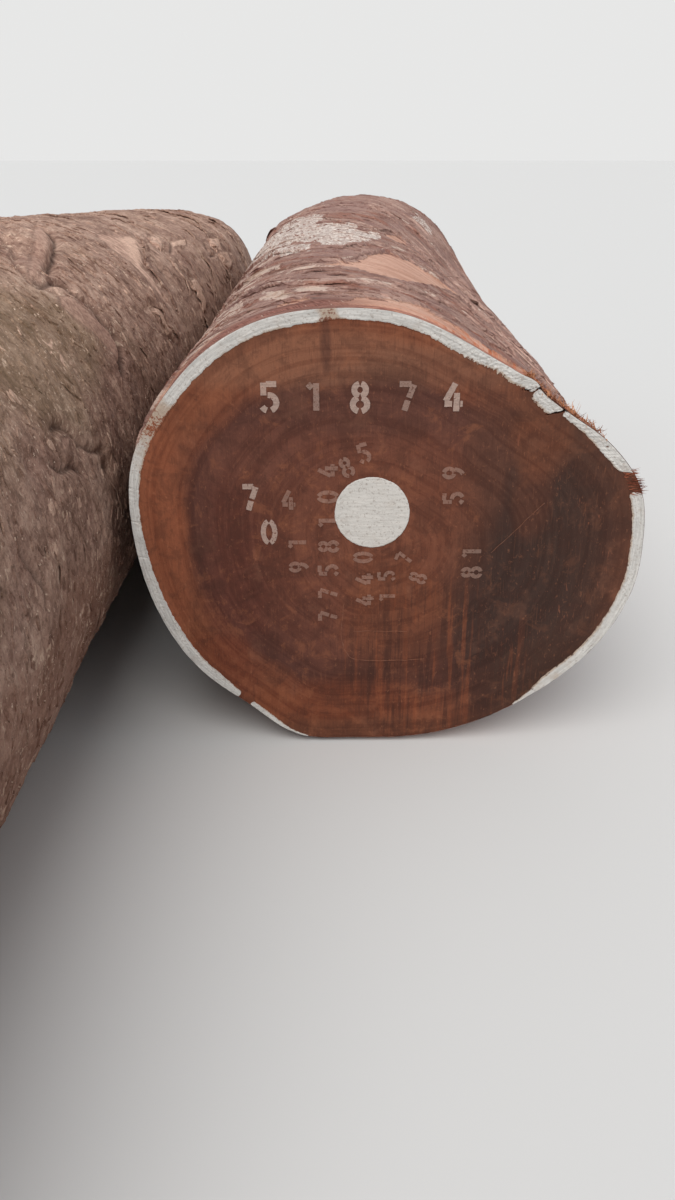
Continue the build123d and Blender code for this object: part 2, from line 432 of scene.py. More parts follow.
def right_height(theta, y):
    """Bark thickness over the bare wood, with the masks and the painted shade of each place, 1 where it has
    none.
    """
    deg, s, u = turn(theta), y - MARKED_Y, right_flow(theta, y)
    p = right.within(theta, y, NOISE_RADIUS)
    ragged = s + 0.020 * fractal(p * 6, 3, 13) + 0.007 * noise(p * 34, 17)
    # The layer that each place belongs to, and the place's share of the way over it
    edges = np.array([s * 0] + [np.interp(deg, BAND_ANGLES, band) for band in BANDS] + [s * 0 + 3.7])
    layer = np.clip((ragged >= edges[:-1]).sum(0) - 1, 0, len(BANDS))
    column = np.arange(len(s))
    near, far = edges[layer, column], edges[layer + 1, column]
    past, over = ragged - near, np.clip((ragged - near) / (far - near), 0, 1)
    band = 0.0085 * ramp(-0.002, 0.012, past) * (1 - 0.85 * over) + 0.0005
    q = np.stack([p[:, 0], u, p[:, 2]], 1)
    fine, behind = plates(u, 0.085, 1.5, 23, 0.0055, q * 3.3)
    strands = streaks(p, u, 4.5, 46, 31) + 0.7 * streaks(p, u, 10, 95, 32)
    lumps = fractal(p * 7, 3, 41)
    slit = ramp(0.28, 0.62, streaks(p, u, 8, 60, 35))
    height = 0.003 + band + fine + 0.0017 * strands + 0.0020 * lumps - 0.0045 * slit
    bare, lichen, scuff = right_masks(theta, y)
    # Painted highlights on the layers' near edges here and there, partly real scuffs, and pale scuffs along
    # the left flank
    edge = (layer > 0) * ramp(0.006, 0.018, past) * ramp(0.09, 0.03, past)
    scuff = np.maximum(scuff, 0.75 * edge * ramp(-0.15, 0.25, noise(p * 5, 55)))
    flank = ramp(118, 134, deg) * ramp(185, 165, deg) * ramp(3.4, 2.6, s)
    scuff = np.maximum(scuff, 0.95 * ramp(-0.10, 0.25, streaks(p, u, 5, 34, 57)) * flank)
    chunks = noise(q * (26, 48, 26), 51) + 0.5 * noise(q * (55, 90, 55), 52)
    height += 0.0035 * lichen * ramp(-0.25, 0.15, chunks) + 0.001 * scuff
    bare_height = 0.0008 + 0.0005 * strands + 0.0008 * lumps
    # Painted shade, kept as the light left: darkest at the foot of each layer's near edge, under the plates'
    # edges, in slits and before the next layer; bare wood gets a light even shade
    painted_light = np.minimum(ramp(-0.002, 0.02, past) * 0.65 + 0.35, ramp(0.0, 0.10, behind) * 0.4 + 0.6)
    painted_light = np.minimum(painted_light, 1 - 0.7 * slit) * (1 - 0.45 * ramp(0.985, 1.0, over))
    painted_light = np.where(bare > 0.5, 0.9, painted_light)
    return height * (1 - bare) + bare_height * bare, bare, lichen, scuff, painted_light


def right_radius(theta, y):
    """Visible radius of the right log, with its masks."""
    height, bare, lichen, scuff, painted_light = right_height(theta, y)
    deg, s = turn(theta), y - MARKED_Y
    # The bare strip meets the sawn end's own side flush
    near = rim(theta) - 0.0005
    wood = near + (right.radius(theta, y) - BARK_DEEP - near) * ramp(0.1, 0.24, s)
    rubbed = ramp(4, 14, deg) * ramp(46, 34, deg) * ramp(1.1, 0.5, s)
    bark = np.clip(height, 0, BARK_DEEP - 0.0005) * (1 - 0.9 * rubbed)
    r = wood - 0.004 * rubbed * ramp(0.06, 0.12, s) + bark
    r = np.minimum(r, right.radius(theta, np.maximum(y, MARKED_Y + BARK_START)) - SKIN)
    r = np.minimum(r, near + np.where(s > 0.112, 1.0, 0.0075))
    return r - 0.012 * ramp(0.058, 0.048, s), bare, lichen, scuff, painted_light


# Left log's bark

TONGUE = [
    (3.10, 78), (3.09, 73), (2.90, 65.5), (2.62, 58.5), (2.45, 55), (2.31, 54.5), (2.38, 60), (2.60, 66),
    (2.9, 75),
]
CREASE = [(3.10, 74), (3.054, 72.2), (2.958, 67.0), (2.675, 59.6), (2.607, 57.6), (2.446, 54.5)]
CREASE_LEFT = [(2.55, 66), (2.43, 62.5), (2.375, 59.6), (2.332, 56.4), (2.302, 53.9)]
CREASE_FOOT = [(2.290, 54.6), (2.302, 53.9), (2.353, 53.1), (2.418, 52.5), (2.44, 53)]
SEAM = [
    (2.42, 53.3), (2.462, 50.4), (2.463, 46.7), (2.474, 43.1), (2.468, 38.5), (2.476, 33.9), (2.442, 29.5),
    (2.366, 25.4), (2.326, 22.3),
]
LOBE = [
    (2.34, 50), (2.40, 48), (2.41, 42), (2.445, 37), (2.445, 31), (2.39, 26), (2.34, 30.5), (2.30, 37),
    (2.27, 42), (2.26, 47),
]
SMOOTH = [
    (3.348, 64.6), (3.622, 62.9), (3.744, 56.0), (3.488, 48.5), (3.348, 44.3), (3.33, 38), (3.32, 31),
    (3.24, 32), (3.20, 40), (3.24, 48.5), (3.236, 55.2),
]
STEP = [
    (3.906, 62.4), (3.744, 56.0), (3.488, 48.5), (3.348, 44.3), (3.332, 39.3), (3.34, 31.5), (3.311, 24.7),
]
ARCH = [(2.95, 34), (3.08, 34), (3.14, 31), (3.127, 26), (3.17, 19)]
PLATE_SHAPES = (
    [(3.061, 33.5), (3.118, 32.3), (3.104, 23.6), (3.053, 24.0), (3.032, 29.7)],
    [(3.960, 56.1), (4.000, 53.8), (3.905, 48.4), (3.820, 50.5)],
    [(4.139, 50.9), (4.451, 49.5), (4.346, 46.8), (4.067, 48.0)],
    [(4.932, 37.7), (5.187, 35.8), (5.180, 30.2), (4.950, 27.5), (4.884, 33.3)],
    [(3.907, 33.9), (3.984, 32.0), (3.909, 20.4), (3.788, 22.0), (3.821, 29.6)],
    [(4.989, 45.8), (5.213, 44.2), (5.060, 37.4), (4.887, 39.5)],
)
KNOT_CRACKS = (
    [(3.04, 84), (2.75, 75), (2.589, 69.9), (2.577, 67.9)],
    [(2.655, 70.0), (2.587, 67.7)],
    [(3.237, 80.3), (2.95, 73.5), (2.703, 67.0)],
)
CRACKS = (
    [(4.20, 52.1), (3.922, 45.6)],
    [(3.282, 34.1), (3.331, 27.6)],
    [(3.082, 23.1), (3.17, 17.5)],
    [(4.85, 46), (4.65, 38), (4.84, 37)],
    [(1.685, 27), (1.75, 26.6), (1.79, 24), (1.805, 21), (1.885, 17.5), (1.99, 14.4)],
    [(1.67, 22), (1.675, 20.4), (1.64, 19)],
    [(1.308, 14.5), (1.322, 12), (1.352, 5), (1.322, 3)],
    [(1.95, 13.5), (1.94, 10.5)],
    [(1.60, 22.5), (1.64, 19.5), (1.72, 18.5), (1.78, 15)],
)
BOSS = [(1.70, 26), (1.755, 24.7), (1.766, 22.7), (1.704, 21), (1.669, 22.6)]
# Pits, as place, degrees, size and depth
PITS = (
    (2.36, 54.3, 0.045, 0.015), (3.555, 41.5, 0.045, 0.016), (1.515, 24.5, 0.022, 0.012),
    (1.94, 12, 0.03, 0.014), (1.80, 19.5, 0.022, 0.012),
)
CHIPS = ((1.64, 15.7), (1.673, 12), (1.70, 7), (1.45, 10.4), (1.51, 16))


def left_flow(theta, y):
    """Place across the left log's strands."""
    deg = turn(theta)
    return y - LEFT_Y + 0.0018 * np.clip(60 - deg, 0, 90) - 0.002 * np.clip(deg - 66, 0, 60)


def groove(path, s, deg, half, deep):
    """Depth and shade of a fold along a path, the distance from it and which side of it."""
    gap, side, along = from_line(path, s, deg)
    open_share = ramp(1.0, 0.9, along) * ramp(0.0, 0.06, along + 0.02)
    return deep * bump(gap, 0, half) * open_share, bump(gap, 0, 1.4 * half) * open_share, gap, side


def left_shape(theta, y):
    """Folds, dents, their painted shade, and tints of the left log's bark."""
    deg, s = turn(theta), y - LEFT_Y
    p = left.within(theta, y)
    rough, wide = fractal(p * 11, 3, 61), fractal(p * 3.1, 2, 63)
    wavy = s + 0.007 * rough + 0.004 * noise(p * 32, 66)
    deg_wavy = deg + 0.5 * wide

    seam, seam_shade, seam_gap, seam_side = groove(SEAM, wavy, deg_wavy, 0.017, 0.025)
    over = 0.005 * bump(seam_gap, 0, 0.05) * (seam_side > 0) * ramp(53, 49, deg) * ramp(22, 27, deg)
    # Painted shade on the seam's far wall, which faces the near end
    far_wall_shade = bump(seam_gap, 0.006, 0.032) * (seam_side < 0) * ramp(19, 25, deg) * ramp(54, 51, deg)
    dent, shade = seam, np.maximum(seam_shade, far_wall_shade)
    _, _, step_gap, _ = groove(STEP, wavy, deg_wavy, 0.016, 0.010)
    folds = (
        # paths, half width, depth, painted shade
        ((CREASE,), 0.014, 0.016, 0.9),
        ((CREASE_LEFT,), 0.011, 0.012, 0.7),
        ((CREASE_FOOT,), 0.016, 0.016, 1.0),
        ((STEP,), 0.016, 0.010, 0.5),
        ((ARCH,), 0.012, 0.009, 0.0),
        (KNOT_CRACKS, 0.009, 0.008, 0.6),
        (CRACKS, 0.011, 0.014, 1.0),
    )
    for paths, half, deep, dark in folds:
        for path in paths:
            fold, fold_shade, _, _ = groove(path, wavy, deg_wavy, half, deep)
            dent, shade = np.maximum(dent, fold), np.maximum(shade, dark * fold_shade)
    for at_s, at_deg, size, deep in PITS:
        gap = from_spot(at_s, at_deg, s, deg) + 0.006 * rough
        dent = np.maximum(dent, deep * bump(gap, 0, size))
        shade = np.maximum(shade, 0.8 * bump(gap, 0, 0.8 * size))

    tongue = ramp(0.004, -0.045, signed([TONGUE], wavy, deg))
    lobe = ramp(0.006, -0.025, signed([LOBE], wavy, deg))
    boss = ramp(0.004, -0.02, signed([BOSS], wavy, deg))
    drawn = streaks(p, s + 0.0035 * (60 - deg), 7, 30, 69)
    smooth = ramp(0.015, -0.03, signed([SMOOTH], wavy, deg) + 0.01 * rough + 0.022 * drawn)
    beyond = signed(PLATE_SHAPES, wavy, deg)
    plate = ramp(0.002, -0.006, beyond)
    # A groove round each plate, with painted shade in it
    halo = bump(beyond, 0.014, 0.009) * ramp(-0.3, 0.2, rough)
    dent, shade = np.maximum(dent, 0.010 * halo), np.maximum(shade, 0.6 * halo)
    skin = np.maximum.reduce([tongue, lobe, smooth, boss])
    swell = 0.007 * tongue + 0.006 * lobe + 0.006 * boss + 0.004 * plate + over

    chips = [ramp(0.016, 0.008, from_spot(*at, s, deg) + 0.005 * rough) for at in CHIPS]
    grains = bump(s, 2.01, 0.07) * bump(deg, 38, 9) * ramp(0.1, 0.5, noise(p * 55, 68))
    beside = 0.35 * bump(step_gap, 0.02, 0.05) * smooth
    pale = np.maximum.reduce([1.1 * plate, 0.48 * smooth + beside, *chips, 0.22 * lobe, 0.9 * grains])
    moss = ramp(0.15, 0.75, bump(s, 1.70, 0.70) * bump(deg, 44, 24) + 0.35 * wide)
    red = ramp(0.2, 0.9, ramp(12, -14, deg) * ramp(2.6, 1.4, s) + 0.4 * wide)
    red = np.maximum(red, 0.5 * lobe * ramp(50, 44, deg))
    return p, dent, shade, swell, skin, pale, moss, red


def left_height(theta, y):
    """Bark thickness of the left log, with its tints and the painted shade of each place, 1 where it has
    none.
    """
    p, dent, shade, swell, skin, pale, moss, red = left_shape(theta, y)
    flow = left_flow(theta, y) + 0.06 * noise(p * 1.6, 71)
    q = np.stack([p[:, 0], flow, p[:, 2]], 1)
    coarse, f1 = plates(flow, 0.22, 0.9, 73, 0.0065, q * 2.3)
    fine, f2 = plates(flow, 0.075, 1.7, 77, 0.004, q * 4.6)
    strands = streaks(p, flow, 10, 30, 81) + 0.6 * streaks(p, flow, 22, 70, 83)
    crumbs, lumps = fractal(p * 24, 2, 85), fractal(p * 4.5, 3, 87)
    slit = ramp(0.34, 0.62, streaks(p, flow, 14, 40, 89))
    rugged = 0.55 + 0.75 * ramp(3.3, 3.8, y - LEFT_Y)
    flaky = 0.0055 + rugged * (coarse + fine + 0.0007 * strands - 0.003 * slit)
    flaky += 0.0030 * crumbs + 0.0034 * lumps
    calm = 0.0065 + 0.0028 * lumps + 0.0006 * strands
    keep = 1 - 0.85 * skin
    height = flaky * keep + calm * (1 - keep) + swell - dent
    # Painted shade, kept as the light left: darker under the plates' edges, in slits, dents and folds, and
    # less of it on smooth skin
    behind = np.minimum(ramp(0.0, 0.06, f1) * 0.5 + 0.5, ramp(0.0, 0.10, f2) * 0.35 + 0.65)
    painted_light = 1 - (1 - np.minimum(behind, 1 - 0.35 * slit)) * keep
    painted_light = np.minimum(painted_light * (1 - 0.8 * ramp(0.004, 0.018, dent)), 1 - 0.70 * shade)
    return np.clip(height, -0.028, BARK_DEEP - 0.0005), flow, skin, pale, moss, red, painted_light


# Materials


def srgb(r, g, b):
    """A colour as read from a picture, as the shader wants it."""
    shares = [c / 255 for c in (r, g, b)]
    return (*(c / 12.92 if c <= 0.04045 else ((c + 0.055) / 1.055) ** 2.4 for c in shares), 1.0)


class Value:
    """One output of a material's nodes, which plain arithmetic works on."""

    def __init__(self, shade, socket):
        self.shade, self.socket = shade, socket

    def __add__(self, other):
        return self.shade.math("ADD", self, other)

    def __sub__(self, other):
        return self.shade.math("SUBTRACT", self, other)

    def __mul__(self, other):
        return self.shade.math("MULTIPLY", self, other)

    def __truediv__(self, other):
        return self.shade.math("DIVIDE", self, other)

    def ramp(self, low, high, first=0.0, last=1.0):
        """Smooth from first to last as the value goes from low to high."""
        inputs = {"Value": self, "From Min": low, "From Max": high, "To Min": first, "To Max": last}
        return self.shade.node("ShaderNodeMapRange", "Result", inputs, interpolation_type="SMOOTHSTEP")


class Shade:
    """One material, with short calls for building its nodes."""

    def __init__(self, name, roughness=0.9, specular=0.25):
        self.material = bpy.data.materials.new(name)
        self.material.use_nodes = True
        self.tree = self.material.node_tree
        self.main = self.tree.nodes["Principled BSDF"].inputs
        self.main["Roughness"].default_value = roughness
        self.main["Specular IOR Level"].default_value = specular

    def put(self, socket, value):
        """Link a value to a socket, or set the socket to a number, vector or colour."""
        if isinstance(value, Value):
            self.tree.links.new(value.socket, socket)
        else:
            socket.default_value = value

    def node(self, kind, output, inputs, **settings):
        """An output of a new node, or all of its outputs where none is named."""
        made = self.tree.nodes.new(kind)
        for key, value in settings.items():
            setattr(made, key, value)
        for key, value in inputs.items():
            self.put(made.inputs[key], value)
        if output is None:
            return [Value(self, socket) for socket in made.outputs]
        return Value(self, made.outputs[output])

    def place(self):
        """Place in the shared frame, in metres."""
        return self.node("ShaderNodeTexCoord", "Object", {})

    def split(self, vector):
        """Its x, y and z."""
        return self.node("ShaderNodeSeparateXYZ", None, {"Vector": vector})

    def attribute(self, name, output="Fac"):
        """Numbers kept at the mesh's points."""
        return self.node("ShaderNodeAttribute", output, {}, attribute_name=name)

    def stretch(self, vector, scale, move=(0, 0, 0)):
        """A place scaled and then moved."""
        return self.node("ShaderNodeMapping", "Vector", {"Vector": vector, "Scale": scale, "Location": move})

    def noise(self, vector, scale, detail, rough, distort=0.0, move=(0, 0, 0)):
        """Noise, drawn out where its scale is three numbers."""
        if isinstance(scale, tuple):
            vector, scale = self.stretch(vector, scale, move), 1.0
        inputs = {"Vector": vector, "Scale": scale, "Detail": detail, "Roughness": rough}
        return self.node("ShaderNodeTexNoise", "Fac", inputs | {"Distortion": distort})

    def math(self, kind, a, b):
        """One sum of two values or numbers."""
        return self.node("ShaderNodeMath", 0, {0: a, 1: b}, operation=kind)

    def mix(self, share, a, b):
        """One colour over another, each a value or three numbers of a picture."""
        a, b = (c if isinstance(c, Value) else srgb(*c) for c in (a, b))
        return self.node("ShaderNodeMix", "Result", {"Factor": share, "A": a, "B": b}, data_type="RGBA")

    def coats(self, colour, *layers):
        """Coats laid over a colour in turn, each as (where it is, strength, colour)."""
        for where, strength, coat in layers:
            colour = self.mix(where * strength, colour, coat)
        return colour

    def times(self, colour, factors):
        """A colour with each of its parts multiplied."""
        inputs = {"Factor": 1.0, "A": colour, "B": (*factors, 1.0)}
        return self.node("ShaderNodeMix", "Result", inputs, data_type="RGBA", blend_type="MULTIPLY")

    def gradient(self, value, *stops):
        """Colours along a value, each as (place, colour)."""
        made = self.tree.nodes.new("ShaderNodeValToRGB")
        self.put(made.inputs["Fac"], value)
        points = made.color_ramp.elements
        while len(points) < len(stops):
            points.new(0.5)
        for point, (at, colour) in zip(points, stops):
            point.position = at
            point.color = srgb(*colour)
        return Value(self, made.outputs["Color"])

    def spot(self, x, z, at_x, at_z, wide, high, soft=0.6, warp=0.0):
        """1 inside an oval of the sawn face, falling to 0 over its soft edge."""
        dx, dz = (x - at_x) / wide, (z - at_z) / high
        return (dx * dx + dz * dz + warp).ramp(1 + soft, 1 - soft)

    def finish(self, colour, height, distance, strength):
        """The material, with its colour and the bump of its height."""
        self.put(self.main["Base Color"], colour)
        inputs = {"Strength": strength, "Distance": distance, "Height": height}
        self.put(self.main["Normal"], self.node("ShaderNodeBump", "Normal", inputs))
        return self.material


def bark_right_material():
    """Reddish, flaky bark with bare pink wood, pale crust, scuffs, painted highlights on its layers' edges
    and painted shade in its crevices.
    """
    s = Shade("bark_right_flaky")
    here, flow = s.place(), s.attribute("flow", "Vector")
    x, y, _ = s.split(here)
    bare, lichen, scuff, depth, tone = map(s.attribute, ("bare", "lichen", "scuff", "depth", "tone"))
    strands = s.noise(flow, (9, 90, 1), 4, 0.62)
    threads = s.noise(flow, (26, 330, 1), 3, 0.6, move=(3, 1, 0))
    grit = s.noise(here, 70, 4, 0.7)
    blotch = s.noise(here, 4.5, 4, 0.6)
    patch = s.noise(flow, (2.6, 11, 1), 3, 0.6, 0.6, move=(7, 2, 0))
    bark = s.gradient(
        strands * 0.45 + patch * 0.35 + grit * 0.2 + (tone - 0.5) * 0.16,
        (0.30, (98, 68, 60)),
        (0.42, (142, 108, 98)),
        (0.50, (166, 131, 119)),
        (0.58, (190, 155, 141)),
        (0.70, (218, 190, 174)),
    )
    bark = s.coats(
        bark,
        (blotch.ramp(0.5, 0.64), 0.45, (142, 109, 104)),
        (patch.ramp(0.44, 0.34), 0.45, (166, 106, 84)),
        (threads.ramp(0.5, 0.34), 0.42, (92, 62, 54)),
        # Pale scuffs, and painted highlights along the layers' near edges
        ((scuff + (grit - 0.5) * 2.0).ramp(0.45, 0.7), 0.8, (218, 194, 178)),
        # Painted shade in the bark's crevices and at the foot of its layers' edges
        (depth.ramp(0.62, 0.12), 0.80, (66, 43, 37)),
    )
    inner = s.gradient(
        patch * 0.6 + threads * 0.4,
        (0.30, (150, 106, 88)),
        (0.42, (182, 136, 115)),
        (0.55, (202, 158, 138)),
        (0.70, (218, 184, 163)),
    )
    vivid = s.noise(flow, (5, 40, 1), 3, 0.6, move=(1, 9, 0)).ramp(0.46, 0.60)
    front = y.ramp(MARKED_Y + 0.16, MARKED_Y + 0.05) * x.ramp(0.62, 0.86, 0.1, 1.0)
    inner = s.coats(inner, (vivid, front, (190, 116, 84)), (grit.ramp(0.56, 0.68), 0.5, (120, 84, 72)))
    colour = s.mix((bare + (strands - 0.5) * 0.9).ramp(0.42, 0.58), bark, inner)
    # Reddish skin right behind the sawn face
    near = (y + (blotch - 0.5) * 0.03).ramp(MARKED_Y + 0.125, MARKED_Y + 0.085)
    skin = s.mix(threads.ramp(0.4, 0.6), (106, 68, 60), (152, 106, 94))
    # Crust, broken by fine cracks, and small pale chips
    crust = s.noise(here, 48, 4, 0.7)
    cells = {"Vector": s.stretch(flow, (16, 42, 1)), "Scale": 1.0}
    crack = s.node("ShaderNodeTexVoronoi", "Distance", cells, feature="DISTANCE_TO_EDGE")
    cover = (lichen + (crust - 0.5) * 1.3).ramp(0.42, 0.55) * crack.ramp(0.018, 0.075)
    pale = s.mix(crust.ramp(0.35, 0.65), (192, 173, 163), (238, 226, 216))
    chips = s.noise(flow, (70, 150, 1), 2, 0.5).ramp(0.68, 0.73)
    colour = s.coats(
        colour,
        (near, x.ramp(0.66, 0.5), skin),
        (cover, bare.ramp(0.6, 0.3), pale),
        (chips, 0.6, (206, 180, 164)),
    )
    height = (strands + threads * 0.5 + grit * 0.5) * bare.ramp(0.5, 0.9, 1.0, 0.35)
    return s.finish(colour, height, 0.008, 1.0)


def bark_left_material():
    """Brown, weathered bark with smooth skin, moss, pale plates, dust and a painted highlight on its top,
    and painted shade in its folds.
    """
    s = Shade("bark_left_weathered")
    here, flow = s.place(), s.attribute("flow", "Vector")
    pale, moss, red, depth, skin, tone = map(s.attribute, ("pale", "moss", "red", "depth", "skin", "tone"))
    strands = s.noise(flow, (17, 40, 1), 5, 0.68, 0.6)
    threads = s.noise(flow, (60, 140, 1), 3, 0.65, move=(3, 1, 0))
    grit = s.noise(here, 75, 4, 0.72)
    blotch = s.noise(here, 4.2, 4, 0.6)
    mottle = s.noise(here, 15, 5, 0.7, 0.3)
    drift = s.noise(flow, (3.2, 5.5, 1), 4, 0.6, 0.5, move=(4, 4, 0))
    crumbs = s.noise(here, 26, 5, 0.74)
    bark = s.gradient(
        strands * 0.30 + grit * 0.22 + mottle * 0.26 + drift * 0.22 + (tone - 0.5) * 0.16,
        (0.36, (96, 69, 58)),
        (0.44, (130, 100, 86)),
        (0.51, (156, 124, 108)),
        (0.58, (176, 145, 128)),
        (0.67, (204, 176, 157)),
    )
    dark = s.noise(flow, (24, 60, 1), 3, 0.65, move=(5, 5, 0))
    bark = s.coats(
        bark,
        (blotch.ramp(0.5, 0.66), 0.4, (134, 102, 91)),
        (crumbs.ramp(0.50, 0.40), 0.5, (96, 68, 56)),
        (crumbs.ramp(0.54, 0.66), 0.45, (188, 155, 136)),
        (moss, 0.36, (120, 105, 76)),
        (red, 0.45, (124, 82, 64)),
        (skin, 0.75, s.mix(grit.ramp(0.35, 0.65), (126, 95, 82), (166, 133, 117))),
        (threads.ramp(0.46, 0.33), skin.ramp(0.9, 0.2, 0.1, 0.35), (82, 57, 47)),
        (dark.ramp(0.40, 0.31), 0.5, (70, 47, 39)),
    )
    # Small pale scales in clusters, and chips
    scales = s.noise(flow, (52, 66, 1), 2, 0.6, move=(2, 8, 0)).ramp(0.57, 0.64)
    scales = scales * s.noise(here, 6.5, 3, 0.6).ramp(0.50, 0.60) * skin.ramp(0.8, 0.2, 0.15, 1.0)
    chips = s.noise(flow, (80, 120, 1), 2, 0.5).ramp(0.65, 0.70) * skin.ramp(0.8, 0.2)
    light = s.mix(threads.ramp(0.38, 0.62), (170, 135, 118), (206, 173, 152))
    colour = s.coats(
        bark,
        ((pale + (strands - 0.5) * 1.5).ramp(0.36, 0.72), 0.85, light),
        (scales, 0.6, (204, 176, 154)),
        (chips, 0.75, (208, 182, 162)),
    )
    # Dust, and a painted highlight, on the side that faces the sky
    around, _, _ = s.split(flow)
    upper = around.ramp(0.10, 0.62) * around.ramp(2.1, 0.95)
    colour = s.mix(upper, colour, s.times(colour, (1.48, 1.52, 1.54)))
    # Painted shade in folds, pits, slits and at the foot of the plates' edges
    colour = s.coats(colour, (depth.ramp(0.60, 0.10), 0.85, (60, 40, 33)))
    height = (strands * 0.5 + threads * 0.2 + grit * 1.1 + crumbs * 1.2) * skin.ramp(0.3, 0.9, 1.0, 0.4)
    return s.finish(colour, height, 0.009, 1.0)


# Zones of the marked face: x, z, half width, half height, strength, colour
ZONES = (
    (1.06, 0.50, 0.21, 0.50, 0.92, (54, 41, 37)),
    (0.93, 0.42, 0.12, 0.26, 0.70, (53, 39, 36)),
    (1.22, 0.62, 0.10, 0.22, 0.5, (62, 42, 36)),
    (0.90, 0.82, 0.06, 0.20, 0.65, (92, 60, 49)),
    (1.03, 0.86, 0.07, 0.09, 0.55, (116, 72, 52)),
    (1.02, 0.72, 0.05, 0.10, 0.35, (104, 62, 46)),
    (0.72, 0.62, 0.17, 0.24, 0.50, (112, 69, 52)),
    (0.70, 0.38, 0.13, 0.16, 0.50, (104, 62, 42)),
    (0.72, 0.18, 0.24, 0.09, 0.55, (70, 41, 33)),
    (0.56, 0.13, 0.26, 0.07, 0.65, (112, 62, 41)),
    (0.285, 0.47, 0.075, 0.28, 0.55, (90, 51, 43)),
    (0.36, 0.82, 0.14, 0.08, 0.55, (104, 67, 57)),
    (0.60, 0.93, 0.26, 0.05, 0.45, (88, 58, 51)),
    (0.11, 0.62, 0.055, 0.32, 0.80, (132, 80, 58)),
    (0.23, 0.24, 0.10, 0.10, 0.6, (112, 61, 42)),
    (0.40, 1.06, 0.32, 0.07, 0.65, (132, 94, 76)),
    (0.80, 1.04, 0.20, 0.05, 0.55, (114, 82, 68)),
    (0.75, 0.04, 0.40, 0.04, 0.6, (80, 50, 38)),
    (1.10, 0.22, 0.16, 0.10, 0.5, (62, 42, 34)),
)


def marked_zones(s, base, here, share, blotch):
    """The marked face's own colours over plain sawn wood."""
    x, _, z = s.split(here)
    wobble = (blotch - 0.5) * 1.3
    for at_x, at_z, wide, high, strength, tint in ZONES:
        base = s.coats(base, (s.spot(x, z, at_x, at_z, wide, high, 0.75, wobble), strength, tint))
    # Upright streaks left by the chain low on the right
    low = s.spot(x, z, 0.80, 0.25, 0.24, 0.24, 0.6)
    chain = s.noise(here, (52, 1, 2.4), 3, 0.6)
    # Pale whiskers of torn grain down the right side, along the rim
    side = share.ramp(0.66, 0.74) * share.ramp(0.90, 0.84) * s.spot(x, z, 1.09, 0.52, 0.24, 0.42, 0.5)
    whisker = s.noise(here, (95, 1, 22), 4, 0.7, 0.8, move=(2, 0, 5))
    return s.coats(
        base,
        # Dark run of moisture under the top of the rim
        (s.spot(x, z, 0.517, 1.09, 0.013, 0.06, 0.7), 0.6, (74, 48, 42)),
        (chain.ramp(0.52, 0.60) * low, 0.55, (58, 35, 29)),
        (chain.ramp(0.46, 0.38) * low, 0.45, (128, 74, 50)),
        (whisker.ramp(0.60, 0.68) * side, 0.60, (142, 92, 72)),
    )


def sawn_colour(s, marked):
    """Colour and relief of sawn heartwood, from the place on the face and the share of the rim."""
    here, rho = s.place(), s.attribute("rho")
    polar = s.node("ShaderNodeCombineXYZ", "Vector", {"X": rho, "Y": s.attribute("around")})
    rings = s.noise(polar, (22, 0.5, 1), 3, 0.7, 0.15)
    fuzz = s.noise(here, (120, 1, 70), 4, 0.7, 0.4)
    drag = s.noise(here, (210, 1, 16), 3, 0.62)
    grain = s.noise(here, (420, 1, 420), 2, 0.6)
    blotch = s.noise(here, 9, 4, 0.65)
    smear = s.noise(here, 17, 5, 0.72, 0.5)
    share = rho + (s.noise(here, 3.2, 3, 0.55) - 0.5) * 0.20
    base = s.gradient(
        share,
        (0.05, (108, 68, 54)),
        (0.34, (102, 63, 51)),
        (0.58, (92, 57, 48)),
        (0.745, (80, 50, 44)),
        (0.80, (110, 67, 51)),
        (0.90, (120, 74, 54)),
        (1.00, (118, 72, 52)),
    )
    pale_smear = 0.26
    if marked:
        base = marked_zones(s, base, here, share, blotch)
        pale_smear = s.split(here)[0].ramp(0.86, 1.0, 0.26, 0.10)
    base = s.coats(
        base,
        (rings.ramp(0.44, 0.60), 0.50, s.times(base, srgb(196, 176, 168)[:3])),
        (drag.ramp(0.56, 0.72), 0.12, (150, 102, 80)),
        (drag.ramp(0.46, 0.34), 0.24, (62, 38, 32)),
        (smear.ramp(0.53, 0.40), 0.34, (56, 33, 27)),
        (smear.ramp(0.54, 0.68), pale_smear, (150, 98, 72)),
        (fuzz.ramp(0.58, 0.72), 0.30, (158, 108, 84)),
        (fuzz.ramp(0.42, 0.30), 0.30, (60, 38, 32)),
        (blotch.ramp(0.56, 0.70), 0.16, (136, 98, 82)),
        (grain.ramp(0.56, 0.72), 0.2, (60, 40, 34)),
    )
    return s.times(base, (1.16, 1.03, 0.90)), fuzz + grain * 0.35 + drag * 0.6


def sawn_material(name, marked):
    """Sawn wood with painted shade inside its splits, with reddish inner bark on the disc's side."""
    s = Shade(name, 0.85, 0.3)
    colour, height = sawn_colour(s, marked)
    flake = s.noise(s.place(), (30, 120, 30), 3, 0.6).ramp(0.36, 0.64)
    skin = s.mix(flake, (104, 66, 57), (150, 104, 90))
    if marked:
        x, _, _ = s.split(s.place())
        skin = s.mix(x.ramp(0.70, 0.5), s.mix(flake, (134, 78, 64), (196, 138, 114)), skin)
    # Painted shade in the splits and shakes, darker the deeper they go
    colour = s.mix(s.attribute("deep").ramp(0.05, 0.6), colour, (34, 20, 16))
    return s.finish(s.mix(s.attribute("side"), colour, skin), height, 0.0025, 0.8)


